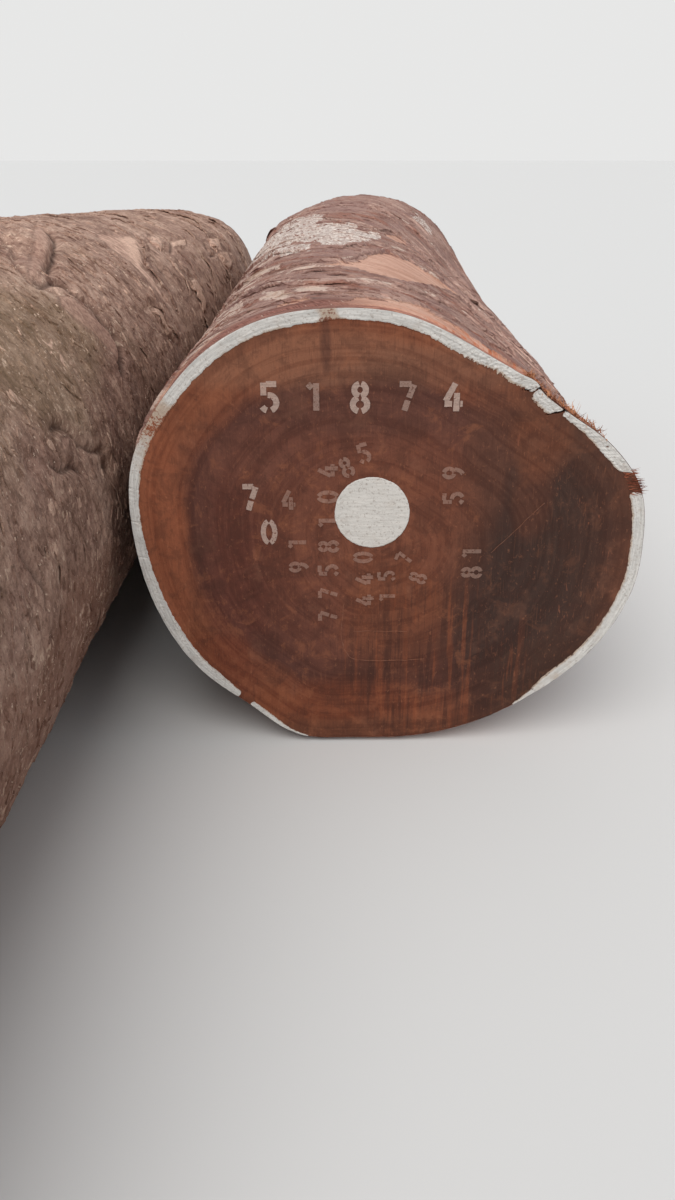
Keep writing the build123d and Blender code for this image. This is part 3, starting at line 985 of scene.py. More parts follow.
def paint_material(name, wear, cover, tint=(214, 210, 204), dulled=0.84):
    """End paint brushed on sawn wood, worn through to it in places."""
    s = Shade(name, 0.75, 0.3)
    wood, _ = sawn_colour(s, True)
    here, worn = s.place(), s.attribute("worn")
    brush = s.noise(s.attribute("brush", "Vector"), (14, 150, 1), 3, 0.65)
    grit = s.noise(here, 170, 4, 0.7)
    large = s.noise(here, 24, 3, 0.6)
    paint = s.coats(
        s.mix(brush.ramp(0.3, 0.7), [dulled * c for c in tint], tint),
        (grit.ramp(0.46, 0.34), 0.6, (146, 132, 122)),
        (large.ramp(0.55, 0.75), 0.3, (176, 162, 150)),
        ((worn + (large - 0.5) * 0.5).ramp(0.12, 0.36), 0.75, (172, 148, 126)),
    )
    bald = (grit - 0.5) * 1.5 + (brush - 0.5) * 0.9 + worn + wear
    colour = s.coats(wood, (bald.ramp(0.56, 0.32), cover, paint))
    return s.finish(colour, (brush + grit) * 0.8, 0.0015, 0.8)


def fibre_material(name, dark, light):
    """Torn wood fibres, between two colours."""
    s = Shade(name, 0.9, 0.2)
    here = s.place()
    line = s.noise(here, (160, 40, 160), 2, 0.6)
    colour = s.mix(s.noise(here, 24, 3, 0.6).ramp(0.34, 0.66), dark, light)
    colour = s.coats(colour, (line.ramp(0.5, 0.36), 0.6, s.times(colour, srgb(150, 130, 120)[:3])))
    return s.finish(colour, line, 0.0015, 0.8)


# Camera

camera = bpy.data.cameras.new("camera")
camera.lens = CAMERA_LENS
camera.sensor_width = 36
camera.clip_end = 60
viewer = bpy.data.objects.new("camera", camera)
viewer.location = CAMERA_AT
viewer.rotation_euler = (math.radians(90 - CAMERA_PITCH), 0, math.radians(CAMERA_YAW))
bpy.context.scene.collection.objects.link(viewer)
bpy.context.scene.camera = viewer


# Trunks' skins, of which the left log's own comes after the sawn ends


def trunk_piece(name, node, trunk, theta, y, caps, surface, material):
    """Closed skin of a trunk over a grid of angles and places, which replaces its CAD node."""
    rows, cols = len(y), len(theta)
    tt, yy = np.tile(theta, rows), np.repeat(y, cols)
    r, attributes = surface(tt, yy)
    verts = trunk.place(tt, yy, r)
    verts[:, 2] = np.maximum(verts[:, 2], SKIN)
    verts = np.concatenate([verts, [trunk.place(0.0, at, 0.0) for at in caps]])
    skin = piece(name, verts, capped(rows, cols), material, attributes)
    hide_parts(node)


def right_surface(theta, y):
    """Radius and masks of the right log's skin."""
    r, bare, lichen, scuff, painted_light = right_radius(theta, y)
    return r, {
        "flow": arc_of(theta, right_flow(theta, y)),
        "bare": bare,
        "lichen": lichen,
        "scuff": scuff,
        # Painted shade, as the light left: 1 where there is none
        "depth": np.clip(painted_light, 0, 1),
        "tone": 0.5 + 0.35 * noise(right.within(theta, y, NOISE_RADIUS) * 5, 93),
    }


def left_surface(theta, y):
    """Radius and tints of the left log's skin."""
    height, flow, skin, pale, moss, red, painted_light = left_height(theta, y)
    return left.radius(theta, y) - BARK_DEEP + height, {
        "flow": arc_of(theta, flow),
        "pale": pale,
        "moss": moss,
        "red": red,
        "skin": skin,
        # Painted shade, as the light left: 1 where there is none
        "depth": np.clip(painted_light, 0, 1),
        "tone": 0.5 + 0.35 * noise(left.within(theta, y, NOISE_RADIUS) * 5, 95),
    }


def right_weight(t):
    """Share of the skin's points at each angle: most where the photograph shows the bark."""
    return 0.26 + 0.74 * ramp(-20, 5, turn(t)) * ramp(180, 160, turn(t))


def left_weight(t):
    """The same for the left log."""
    deg = turn(t)
    wide, shown = ramp(-60, -25, deg) * ramp(135, 110, deg), ramp(-12, 2, deg) * ramp(88, 76, deg)
    return 0.16 + 0.30 * wide + 0.54 * shown


def right_rows(y):
    """Share of the skin's points at each place along the right log."""
    return 1 / (0.55 + 0.32 * (y - MARKED_Y))


def left_rows(y):
    """Share of the skin's points at each place along the left log."""
    s = y - LEFT_Y
    return 0.20 + 0.80 * ramp(0.7, 1.1, s) * (0.12 + 0.88 * ramp(3.4, 2.5, s))


# Points round each skin and along it
RIGHT_ROUND, RIGHT_ALONG = 370, 262
LEFT_ROUND, LEFT_ALONG = 290, 336

bark_right, bark_left = bark_right_material(), bark_left_material()
theta = all_round(RIGHT_ROUND, right_weight)
y = spaced(MARKED_Y + 0.045, MARKED_Y + RIGHT_LENGTH - 0.02, RIGHT_ALONG, right_rows)
caps = (MARKED_Y + 0.05, MARKED_Y + RIGHT_LENGTH - 0.03)
trunk_piece("right_bark", "right_log", right, theta, y, caps, right_surface, bark_right)


# Sawn ends

# Rows behind a sawn face, as depth and how far they lie inside its rim
END_SIDE = ((0.0015, 0.0000), (0.006, -0.0008), (0.02, -0.0012), (0.045, -0.0016))


def end_piece(name, centre, rim_of, face_y, thick, out, theta, shares, dent, material):
    """Thick disc with a detailed sawn face; out is -1 where the face looks along -Y."""
    cols, edge = len(theta), rim_of(theta)
    unit = np.stack([np.cos(theta), theta * 0, np.sin(theta)], 1)
    rows = []  # points, share of the rim, whether it is the side, and how deep it is sunk
    for share in shares:
        p = np.array([centre[0], 0, centre[1]]) + unit * (edge * share)[:, None]
        push = dent(p[:, 0], p[:, 2], np.full(cols, share), theta)
        p[:, 1] = face_y - out * push
        rows.append((p, share, 0.0, np.clip(push / 0.03, 0, 1)))
    for depth, lower in (*END_SIDE, (thick, -0.004)):
        p = unit * NOISE_RADIUS + (0, depth * 2.0, 0)
        r = edge + lower - 0.001 * np.clip(noise(p * 30, 91), 0, 1)
        p = np.array([centre[0], face_y - out * depth, centre[1]]) + unit * r[:, None]
        rows.append((p, 1.0, 1.0 if depth > 0.003 else 0.4, np.zeros(cols)))
    points, share, side, deep = zip(*rows)
    middle = [[centre[0], face_y, centre[1]], [centre[0], face_y - out * thick, centre[1]]]
    faces = capped(len(rows), cols)
    attributes = {
        "rho": np.repeat(share, cols),
        "around": np.tile(theta, len(rows)),
        "side": np.repeat(side, cols),
        "deep": np.concatenate(deep),
    }
    piece(name, np.concatenate([*points, middle]), faces, material, attributes)


# Splits across the marked rim, each as (x, z) at its closed end, (x, z) at the rim, and its mouth
CHECKS = ((0.969, 0.9862, 1.036, 0.9910, 0.0026), (1.029, 0.9270, 1.101, 0.9430, 0.0028))
# Thin shakes in the heart, as lines of (x, z)
SHAKES = (
    [(0.279, 0.600), (0.281, 0.574), (0.300, 0.510), (0.315, 0.461), (0.322, 0.400), (0.320, 0.343)],
    [(0.335, 0.545), (0.362, 0.505), (0.385, 0.480)],
    [(0.298, 0.470), (0.340, 0.430), (0.352, 0.402)],
    # Hair cracks across the rim
    [(0.020, 0.751), (0.058, 0.743)],
    [(0.012, 0.665), (0.050, 0.656)],
    [(0.012, 0.570), (0.060, 0.561)],
    [(0.040, 0.450), (0.084, 0.475)],
)


def marked_dent(x, z, share, theta):
    """Relief of the marked face, and its open splits."""
    p = np.stack([x, x * 0, z], 1)
    push = 0.0006 + 0.0005 * fractal(p * 9, 3, 101) + 0.0003 * noise(p * (60, 1, 3), 103)
    for x0, z0, x1, z1, mouth in CHECKS:
        t = np.clip((x - x0) / (x1 - x0), 0, 1)
        middle = z0 + (z1 - z0) * t + 0.0022 * noise(p * (55, 0, 0), 107)
        inside = (x > x0) * ramp(1.3, 0.7, np.abs(z - middle) / np.maximum(mouth * t**0.6, 1e-5))
        push += 0.05 * inside * ramp(0.0, 0.3, t)
    waver = 0.003 * noise(p * 60, 111)
    for path in SHAKES:
        for a, b in zip(path, path[1:]):
            push += 0.003 * ramp(0.0035, 0.0, to_segment(x, z, a, b)[0] + waver)
    crumble = ramp(0.985, 1.0, share) * 0.0015 * (1 + noise(p * 45, 109))
    return np.maximum(push + crumble, 0.0002)


def marked_weight(t):
    """Share of the face's points at each angle: most near the splits and the rim's fibres."""
    deg = turn(t)
    return 1.0 + 7.0 * (bump(deg, 48, 3.2) + bump(deg, 39.5, 3.2)) + ramp(28, 32, deg) * ramp(58, 52, deg)


# Checks of a plain end, as direction, reach and mouth, the first and last in radians
PLAIN_CHECKS = ((0.6, 0.42, 0.012), (2.5, 0.55, 0.016), (4.3, 0.38, 0.012), (5.4, 0.28, 0.01))


def plain_dent(x, z, share, theta):
    """Relief of a plain sawn face with a few checks from its heart."""
    p = np.stack([x, x * 0 + 5, z], 1)
    push = 0.001 * (1 + fractal(p * 8, 3, 121)) + 0.0007 * noise(p * (3, 0, 55), 123)
    for at, reach, mouth in PLAIN_CHECKS:
        wander = at + 0.10 * noise(np.stack([share * 6, share * 0 + at, share * 0], 1), 127)
        gap = np.abs((theta - wander + math.pi) % math.tau - math.pi)
        push += 0.012 * bump(gap, 0, mouth) * ramp(reach, reach - 0.2, share) * ramp(0.03, 0.1, share)
    return np.maximum(push, 0.0002)


# Points round each face, and shares of its rim at which their rows lie
MARKED_ROUND, PLAIN_ROUND = 760, 180
MARKED_SHARES = np.concatenate([np.linspace(0.02, 0.78, 22), np.linspace(0.79, 1.0, 40)])
PLAIN_SHARES = np.concatenate([np.linspace(0.02, 0.6, 22), np.linspace(0.62, 1.0, 14)])

theta, shares = all_round(MARKED_ROUND, marked_weight), MARKED_SHARES
sawn = sawn_material("sawn_marked", True)
middle = (FACE_X, FACE_Z)
end_piece("marked_end", middle, rim, MARKED_Y, MARKED_THICK, -1, theta, shares, marked_dent, sawn)

theta = np.linspace(-math.pi / 2, 1.5 * math.pi, PLAIN_ROUND + 1)[:-1]
shares = PLAIN_SHARES
sawn = sawn_material("sawn_plain", False)
PLAIN_ENDS = (
    ("right_far_end", right, MARKED_Y + RIGHT_LENGTH, 1),
    ("left_near_end", left, LEFT_Y, -1),
    ("left_far_end", left, LEFT_Y + LEFT_LENGTH, 1),
)
for name, trunk, at_y, out in PLAIN_ENDS:

    def plain_rim(t):
        """Rim of a plain sawn face."""
        return trunk.radius(t, np.full(len(t), at_y)) - PLAIN_INSET

    middle = trunk.axis(at_y)
    end_piece(name, middle, plain_rim, at_y, PLAIN_THICK, out, theta, shares, plain_dent, sawn)


# Left log's skin

theta = all_round(LEFT_ROUND, left_weight)
y = spaced(LEFT_Y + 0.03, LEFT_Y + LEFT_LENGTH - 0.03, LEFT_ALONG, left_rows)
caps = (LEFT_Y + 0.04, LEFT_Y + LEFT_LENGTH - 0.04)
trunk_piece("left_bark", "left_log", left, theta, y, caps, left_surface, bark_left)


# Paint on the marked end

# Rows across a strip, as share of its width and of its thickness; None is where it is rooted in the wood
STRIP_ROWS = (
    (0.0, None), (0.0, 0.55), (0.06, 0.9), (0.2, 1.0), (0.35, 1.0), (0.5, 1.0), (0.65, 1.0), (0.8, 0.95),
    (0.92, 0.8), (1.0, 0.4), (1.0, None),
)


def paint_strip(name, from_deg, to_deg, shift, worn, slant=(0, 0)):
    """Brushed strip of paint along the rim, closed; slant turns its ends, in degrees at the inner edge."""
    count = max(int(abs(to_deg - from_deg) * 4), 40)
    share = np.linspace(0, 1, count)
    verts, brush, wear, angle = [], [], [], []
    for a, h in STRIP_ROWS:
        start, end = from_deg + slant[0] * a, to_deg + slant[1] * a
        deg = start + (end - start) * share
        t = np.radians(deg)
        outer, line = rim(t), np.stack([np.cos(t), t * 0, np.sin(t)], 1)
        width = ring_width(deg) * (1 + 0.05 * noise(line * 7, 131) + 0.05 * noise(line * 30, 133))
        # Rounded tips
        reach = RIM_RADIUS * np.radians(to_deg - from_deg) * np.minimum(share, 1 - share)
        tip = np.sqrt(np.clip(reach / 0.007, 0, 1))
        width = np.maximum(width * (0.55 + 0.45 * tip), 0.0015)
        drips = bump(deg, 60, 16)
        ragged = (0.0009 + 0.0026 * drips) * noise(line * 80, 135)
        ragged += (0.0007 + 0.0024 * drips) * noise(line * 230, 137)
        r = outer - SKIN + shift - a * (width + ragged) - 0.1 * width * (1 - tip)
        p = r[:, None] * line
        ropy = ramp(12, 18, deg) * ramp(80, 64, deg)
        relief = (0.0005 + 0.0011 * ropy) * noise(p * (85, 1, 150), 139)
        relief += (0.0003 + 0.0005 * ropy) * noise(p * 230, 141)
        up = -ROOT if h is None else h * (PAINT + relief)
        x, z = FACE_X + p[:, 0], FACE_Z + p[:, 2]
        dented = np.clip(marked_dent(x, z, r / outer, t) - 0.0020, 0, 0.03)
        verts.append(np.stack([x, MARKED_Y - up + dented, z], 1))
        brush.append(np.stack([t * 0.6, t * 0 + a * 0.037, t * 0], 1))
        wear.append(worn(deg) + (0.25 + 0.15 * drips) * ramp(0.75 - 0.3 * drips, 1.0, a))
        angle.append(t)
    # Underside and both ends, from the same points
    rows = len(STRIP_ROWS)
    last = (rows - 1) * count
    faces = grid(rows, count, closed=False)
    faces += [[i, i + 1, last + i + 1, last + i] for i in range(count - 1)]
    for i, k in itertools.product((0, count - 1), range(1, rows - 1)):
        faces.append([i, k * count + i, (k + 1) * count + i])
    attributes = {
        "brush": np.concatenate(brush),
        "worn": np.concatenate(wear),
        "rho": np.full(rows * count, 0.95),
        "around": np.concatenate(angle),
    }
    piece(name, np.concatenate(verts), faces, ring_paint, attributes, smooth=False)


# Places where the ring is narrower, as degrees, spread and narrowing in metres
RING_DIPS = (
    (17.2, 1.2, 0.013), (50, 4, 0.003), (59, 5.5, 0.007), (89, 12, 0.0045), (101, 3, 0.005),
    (172, 13, 0.0065),
)
# Places where it is worn, as degrees, spread and wear
RING_WEAR = ((149.5, 6.0, 0.50), (118, 5, 0.10), (103, 2.8, 0.46), (160, 7, 0.20))


def ring_width(deg):
    """Width of the painted ring, which thins out to both ends and before the split on the right."""
    dips = sum(narrower * bump(deg, at, spread) for at, spread, narrower in RING_DIPS)
    dips += 0.026 * ramp(-38, -53, deg) + 0.015 * ramp(22, 38, deg) * ramp(41, 39, deg)
    dips += 0.016 * ramp(218, 236, deg) + 0.011 * ramp(240, 253, deg)
    return 0.030 - dips


def ring_worn(deg):
    """Wear of the ring's long upper strip."""
    worn = sum(wear * bump(deg, at, spread) for at, spread, wear in RING_WEAR)
    return worn - 0.06 + 0.10 * ramp(200, 225, deg)


ring_paint = paint_material("end_paint", 0.0, 1.0)
paint_strip("paint_ring_upper", 47.5, 229.8, 0.0, ring_worn, (0.7, 0))
paint_strip("paint_ring_tail", 233.8, 251.8, -0.001, lambda deg: 0.05)
paint_strip("paint_ring_piece", 38.9, 47.4, -0.003, lambda deg: 0.05, (1.0, 0.4))
paint_strip("paint_ring_right", 17.4, 38.3, -0.001, lambda deg: 0.03, (0.6, 0.2))
paint_strip("paint_ring_low", -51.8, 12.3, -0.001, lambda deg: 0.10 * ramp(-5, -45, deg) + 0.06, (0, 0.6))


DISC_ROUND = 160  # points round the disc


def paint_disc():
    """Round coat of white paint near the heart, with nothing on it."""
    t = np.linspace(0, math.tau, DISC_ROUND, endpoint=False)
    line = np.stack([np.cos(t), t * 0, np.sin(t)], 1)
    edge = DISC_RADIUS + 0.0010 * noise(line * 3, 151) + 0.0007 * noise(line * 16, 153)
    verts = []
    for share in (*np.linspace(0.03, 0.98, 40), 1.0, 1.0):
        p = np.array([DISC_X, 0, DISC_Z]) + line * (edge * share)[:, None]
        up = PAINT + 0.0004 * noise(p * 45, 155) + 0.0003 * noise(p * (40, 1, 190), 157)
        p[:, 1] = MARKED_Y - up * (0.5 if share == 1.0 else 1.0)
        verts.append(p)
    verts[-1][:, 1] = MARKED_Y + ROOT
    faces = capped(len(verts), DISC_ROUND)
    verts = np.concatenate([*verts, [[DISC_X, MARKED_Y + up, DISC_Z] for up in (-PAINT, ROOT)]])
    attributes = {
        "brush": np.stack([verts[:, 0], verts[:, 2], verts[:, 2] * 0], 1),
        "worn": np.full(len(verts), -0.1),
        "rho": np.full(len(verts), 0.15),
        "around": np.zeros(len(verts)),
    }
    disc_paint = paint_material("disc_paint", -0.05, 1.0, (212, 207, 200), 0.93)
    piece("paint_disc", verts, faces, disc_paint, attributes)


paint_disc()


# Stencilled numerals and saw lines


def on_face(verts, brush, worn):
    """Numbers that the paint's material reads, for points on the marked face."""
    x, z = verts[:, 0] - FACE_X, verts[:, 2] - FACE_Z
    worn = np.full(len(verts), worn)
    return {"brush": brush, "worn": worn, "rho": np.hypot(x, z) / MEAN_RADIUS, "around": np.arctan2(z, x)}


def sideways(px, pz):
    """Unit steps to the left of a path's points."""
    tx, tz = np.gradient(px), np.gradient(pz)
    return -tz / np.hypot(tx, tz), tx / np.hypot(tx, tz)


def arc(cx, cz, rx, rz, start, end, points=12):
    """Points of an arc of an ellipse, between two angles in degrees."""
    turns = np.radians(np.linspace(start, end, points))
    return list(zip(cx + rx * np.cos(turns), cz + rz * np.sin(turns)))


def bowl(cz, rx, rz, bridge=10):
    """Both halves of a closed loop, with a stencil's bridges at its top and bottom."""
    return [arc(0.3, cz, rx, rz, start + bridge, start + 180 - bridge) for start in (90, -90)]


# Plain stencil numerals, as strokes in a box 0.6 wide and 1 high
STROKES = {
    "0": bowl(0.5, 0.2, 0.4),
    "1": [[(0.12, 0.76), (0.24, 0.88)], [(0.36, 0.9), (0.36, 0.1)]],
    "4": [
        [(0.36, 0.9), (0.10, 0.38)], [(0.07, 0.3), (0.29, 0.3)], [(0.53, 0.3), (0.6, 0.3)],
        [(0.42, 0.62), (0.42, 0.08)],
    ],
    "5": [
        [(0.22, 0.88), (0.52, 0.88)], [(0.14, 0.92), (0.14, 0.55)],
        arc(0.28, 0.33, 0.23, 0.23, 95, -70), arc(0.28, 0.33, 0.22, 0.23, -105, -150, 6),
    ],
    "7": [[(0.08, 0.88), (0.42, 0.88)], [(0.5, 0.86), (0.36, 0.48)], [(0.33, 0.4), (0.24, 0.1)]],
    "8": [*bowl(0.71, 0.17, 0.18), *bowl(0.28, 0.21, 0.2, 15)],
    "9": [*bowl(0.68, 0.19, 0.22), [(0.47, 0.46), (0.40, 0.22), (0.26, 0.1)]],
}
STROKE_HALF = 0.088  # half a stroke's width, in the box's own units
STROKE_TOP, STROKE_RISE = 0.0006, 0.00008  # height of a numeral's first stroke, and how much each adds
LINE_TOP = 0.0005  # height of the saw lines


def digits(name, marks, material, worn):
    """Thin painted numerals: each mark is (text, x, z, height, turn in degrees)."""
    verts, faces, brush = [], [], []
    rng = random.Random(7)
    for text, at_x, at_z, size, angle in marks:
        ca, sa = math.cos(math.radians(angle)), math.sin(math.radians(angle))
        for number, stroke in enumerate(STROKES[text]):
            at, px, pz = along_path(stroke, 0.0035 / size)
            nx, nz = sideways(px, pz)
            faces += bar(len(verts), len(at))
            top = STROKE_TOP + STROKE_RISE * number
            for i in range(len(at)):
                half = STROKE_HALF * (1 + 0.12 * (rng.random() - 0.5))
                for side, up in ((-half, -ROOT), (-half, top), (half, top), (half, -ROOT)):
                    lx, lz = (px[i] + side * nx[i] - 0.3) * size, (pz[i] + side * nz[i] - 0.5) * size
                    verts.append([at_x + lx * ca - lz * sa, MARKED_Y - up, at_z + lx * sa + lz * ca])
                    brush.append([lx, lz, 0])
    verts = np.array(verts)
    attributes = on_face(verts, np.array(brush), worn)
    piece(name, verts, faces, material, attributes, smooth=False)


def lines(name, paths, half, material):
    """Thin closed ridges along paths on the marked face."""
    verts, faces = [], []
    for path in paths:
        at, px, pz = along_path(path, 0.006)
        nx, nz = sideways(px, pz)
        waver = 0.0012 * noise(np.stack([at * 40, at * 0 + path[0][0] * 9, at * 0], 1), 163)
        faces += bar(len(verts), len(at))
        for i in range(len(at)):
            wide = half * (0.6 + 0.5 * math.sin(7.0 * i) ** 2)
            for side, up in ((-wide, -ROOT), (-wide, LINE_TOP), (wide, LINE_TOP), (wide, -ROOT)):
                off = side + waver[i]
                verts.append([px[i] + nx[i] * off, MARKED_Y - up, pz[i] + nz[i] * off])
    verts = np.array(verts)
    piece(name, verts, faces, material, on_face(verts, verts, 0.0), smooth=False)


bright = paint_material("stencil_bright", 0.17, 0.66, (206, 180, 166))
dull = paint_material("stencil_dull", 0.22, 0.50, (190, 160, 146))
faint = paint_material("stencil_faint", 0.24, 0.42, (182, 146, 130))
ROW_Z, ROW_HIGH = 0.9705, 0.08
row = [(d, x, ROW_Z, ROW_HIGH, 0) for d, x in zip("51874", (0.384, 0.489, 0.596, 0.705, 0.812))]
digits("stencil_row", row[::2], bright, 0.0)
digits("stencil_row_worn", row[1::2], dull, 0.06)
digits("stencil_side", [("7", 0.329, 0.721, 0.078, 0), ("0", 0.373, 0.631, 0.072, 0)], bright, 0.10)
# Columns of faint numerals, as digits, the first one's x and z, the step down, height and turn
COLUMNS = (
    ("4018577", 0.52, 0.79, 0.066, 0.058, 90),
    ("1", 0.443, 0.60, 0, 0.055, 90),
    ("9", 0.446, 0.535, 0, 0.055, 90),
    ("4", 0.422, 0.716, 0, 0.06, 0),
    ("0", 0.608, 0.562, 0, 0.055, 90),
    ("4", 0.612, 0.50, 0, 0.055, 90),
    ("4", 0.614, 0.44, 0, 0.055, 90),
    ("5", 0.668, 0.51, 0, 0.05, 90),
    ("1", 0.672, 0.45, 0, 0.05, 90),
    ("7", 0.712, 0.56, 0, 0.05, 70),
    ("8", 0.748, 0.505, 0, 0.05, 70),
    ("9", 0.824, 0.785, 0, 0.058, 90),
    ("5", 0.827, 0.72, 0, 0.058, 90),
    ("1", 0.882, 0.575, 0, 0.058, 90),
    ("8", 0.884, 0.52, 0, 0.058, 90),
    ("8", 0.565, 0.80, 0, 0.055, 25),
    ("5", 0.606, 0.835, 0, 0.055, 15),
)
marks = []
for text, x, z, down, high, tilt in COLUMNS:
    marks += [(d, x, z - down * i, high, tilt) for i, d in enumerate(text)]
digits("stencil_faint_marks", marks, faint, 0.04)

# Thin lines that the saw and knocks have left on the face, as (x, z) points
SAW_LINES = (
    [
        (0.553, 0.349), (0.555, 0.318), (0.562, 0.294), (0.575, 0.272), (0.5965, 0.262), (0.66, 0.260),
        (0.725, 0.262), (0.775, 0.266),
    ],
    [(0.560, 0.43), (0.556, 0.39), (0.553, 0.352)],
    [(0.585, 0.349), (0.63, 0.350), (0.68, 0.349), (0.726, 0.350)],
    [(0.930, 0.574), (0.972, 0.618), (1.012, 0.664), (1.052, 0.708)],
)
lines("saw_lines", SAW_LINES, 0.0011, paint_material("saw_line", 0.16, 0.40, (150, 98, 74)))


# Loose bark


def right_proud(deg, s):
    """How far bark may stand off the CAD surface: along the top, clear of the other log."""
    return 0.010 * ramp(28, 40, deg) * ramp(152, 140, deg) - SKIN


def left_proud(deg, s):
    """The same for the left log, where only its far half has loose bark on top."""
    return 0.009 * ramp(20, 30, deg) * ramp(150, 130, deg) * ramp(3.3, 3.7, s) - SKIN


def right_tints(theta, y, tone):
    """What the bark's material reads, for loose bark of the right log."""
    _, lichen, scuff = right_masks(theta, y)
    # Loose bark gets a slight, even painted shade
    flow, bare, depth = arc_of(theta, right_flow(theta, y)), tone * 0, tone * 0 + 0.85
    return {"flow": flow, "bare": bare, "lichen": lichen, "scuff": scuff, "depth": depth, "tone": tone}


def left_tints(theta, y, tone):
    """What the bark's material reads, for loose bark of the left log."""
    _, _, _, _, _, _, moss, red = left_shape(theta, y)
    flow, pale = arc_of(theta, left_flow(theta, y)), np.clip(tone * 1.6 - 1.0, 0, 0.75)
    # Loose bark gets a slight, even painted shade
    skin, depth = tone * 0, tone * 0 + 0.85
    tints = {"flow": flow, "pale": pale, "moss": moss, "red": red, "skin": skin, "depth": depth}
    return tints | {"tone": tone}


# What loose bark lies on: trunk, its skin, how far bark may stand off, tints, material and slot
ON_RIGHT = (right, right_surface, right_proud, right_tints, bark_right, "bark_right")
ON_LEFT = (left, left_surface, left_proud, left_tints, bark_left, "bark_left")


def loose_bark(name, log, rows, faces):
    """A piece of closed wafers from rows of (angles, places, heights over the bark, tones)."""
    trunk, surface, proud, tints, material, slot = log
    t, y, h, tone = (np.concatenate(v) for v in zip(*rows))
    y = np.clip(y, trunk.near[1] + 0.045, trunk.far[1] - 0.02)
    r = np.minimum(surface(t, y)[0] + h, trunk.radius(t, y) + proud(turn(t), y - trunk.near[1]))
    piece(name, trunk.place(t, y, r), faces, material, tints(t, y, tone), smooth=False)


ACROSS = (0.0, 0.04, 0.14, 0.32, 0.6, 1.0)  # rows over a sheet, from its free edge to the one that is fast
SHEET_ROWS = [(b, True) for b in ACROSS] + [(b, False) for b in ACROSS[-2::-2]]


def sheets(name, log, strips, seed):
    """Ragged bark sheets, each a closed wafer with one free edge standing off the trunk.

    A strip is (degrees along its free edge, places along it, width, thickness, lift, tone).
    """
    found, faces, base, near_y = [], [], 0, log[0].near[1]
    for k, (deg, s, width, thick, lift, tone) in enumerate(strips):
        deg, s = np.asarray(deg, float), np.asarray(s, float)
        length = np.concatenate([[0], np.cumsum(np.hypot(np.diff(s), np.diff(deg) * REACH))])
        n = int(np.clip(length[-1] / 0.013, 7, 34))
        at = np.linspace(0, length[-1], n)
        deg, s = np.interp(at, length, deg), np.interp(at, length, s)
        line = np.stack([at * 1.0, np.full(n, k * 7.7), np.full(n, seed * 1.3)], 1)
        taper = np.clip(np.sin(at / length[-1] * math.pi), 0.02, 1) ** 0.55
        near = width * (0.16 * noise(line * (22, 1, 1), 201) + 0.10 * noise(line * (60, 1, 1), 203))
        far = 1 + 0.35 * noise(line * (16, 1, 1), 205) + 0.15 * noise(line * (45, 1, 1), 207)
        curl = np.clip(0.55 + 0.8 * noise(line * (9, 1, 1), 209), 0, 1.3)
        for b, upper in SHEET_ROWS:
            inward = near * taper * (1 - b) + b * width * taper * far
            top = thick * (1 - 0.85 * b) * (0.4 + 0.6 * taper) - 0.004 * b
            top += lift * curl * taper * (1 - b) ** 2.2
            under = top - thick * 0.8 * (1 - 0.5 * b) - 0.0012
            found.append((np.radians(deg), near_y + s + inward, top if upper else under, np.full(n, tone)))
        starts = [base + i * n for i in range(len(SHEET_ROWS))]
        for a, b in zip(starts, starts[1:] + starts[:1]):
            faces += [[a + j, a + j + 1, b + j + 1, b + j] for j in range(n - 1)]
        faces += [starts, [a + n - 1 for a in starts][::-1]]
        base += len(starts) * n
    loose_bark(name, log, found, faces)


def flakes(name, log, spots, seed):
    """Small chips of bark, each a closed irregular wafer lying on the trunk."""
    rng = np.random.default_rng(seed)
    found, faces, base = [], [], 0
    for t0, y0, a, b, thick, lift, lean in spots:
        k = int(rng.integers(6, 9))
        phi = np.linspace(0, math.tau, k, endpoint=False) + rng.uniform(-0.3, 0.3, k)
        ragged = rng.uniform(0.6, 1.1, k)
        tone = rng.random()
        ca, sa = math.cos(lean), math.sin(lean)
        for share, count, height in ((1.0, k, -0.003), (0.9, k, thick), (0.0, 1, thick)):
            reach, angle = share * ragged[:count], phi[:count]
            px, py = a * reach * np.cos(angle), b * reach * np.sin(angle)
            rise = lift * np.clip(-py / b, 0, 1) ** 2
            theta, y = t0 + (px * ca - py * sa) / RIM_RADIUS, y0 + px * sa + py * ca
            found.append((theta, y, rise + height, np.full(count, tone)))
        high, top = base + k, base + 2 * k
        for i in range(k):
            j = (i + 1) % k
            faces += [[base + i, base + j, high + j, high + i], [high + i, high + j, top]]
        faces.append([base + i for i in range(k)][::-1])
        base = top + 1
    loose_bark(name, log, found, faces)


def strewn(count, angles, spans, run, looks, low=0.0, high=LEFT_LENGTH):
    """Sheets at random, whose looks are the ranges of their width, thickness, lift and tone."""
    found = []
    for _ in range(count):
        middle, span = rng.uniform(*angles), rng.uniform(*spans)
        deg = np.linspace(middle - span / 2, middle + span / 2, 7)
        s = run(deg, middle)
        if low <= s.min() and s.max() <= high:
            found.append((deg, s, *(rng.uniform(*look) for look in looks)))
    return found


def sway(size):
    """A sheet's edge turned at random about its middle."""
    return size * rng.standard_normal() * np.linspace(-1, 1, 7)


rng = np.random.default_rng(41)

# Sheets along the edges of the right log's layers, then loose ones all over it
strips = []
for band in BANDS:
    at = rng.uniform(2, 12)
    while at < 165:
        span = rng.uniform(9, 30)
        deg = np.linspace(at, min(at + span, 170), 9)
        s = np.interp(deg, BAND_ANGLES, band) + rng.uniform(-0.012, 0.004)
        looks = ((0.06, 0.16), (0.003, 0.005), (0.0005, 0.004), (0.4, 1.0))
        strips.append((deg, s, *(rng.uniform(*look) for look in looks)))
        at += span * rng.uniform(0.8, 1.3)


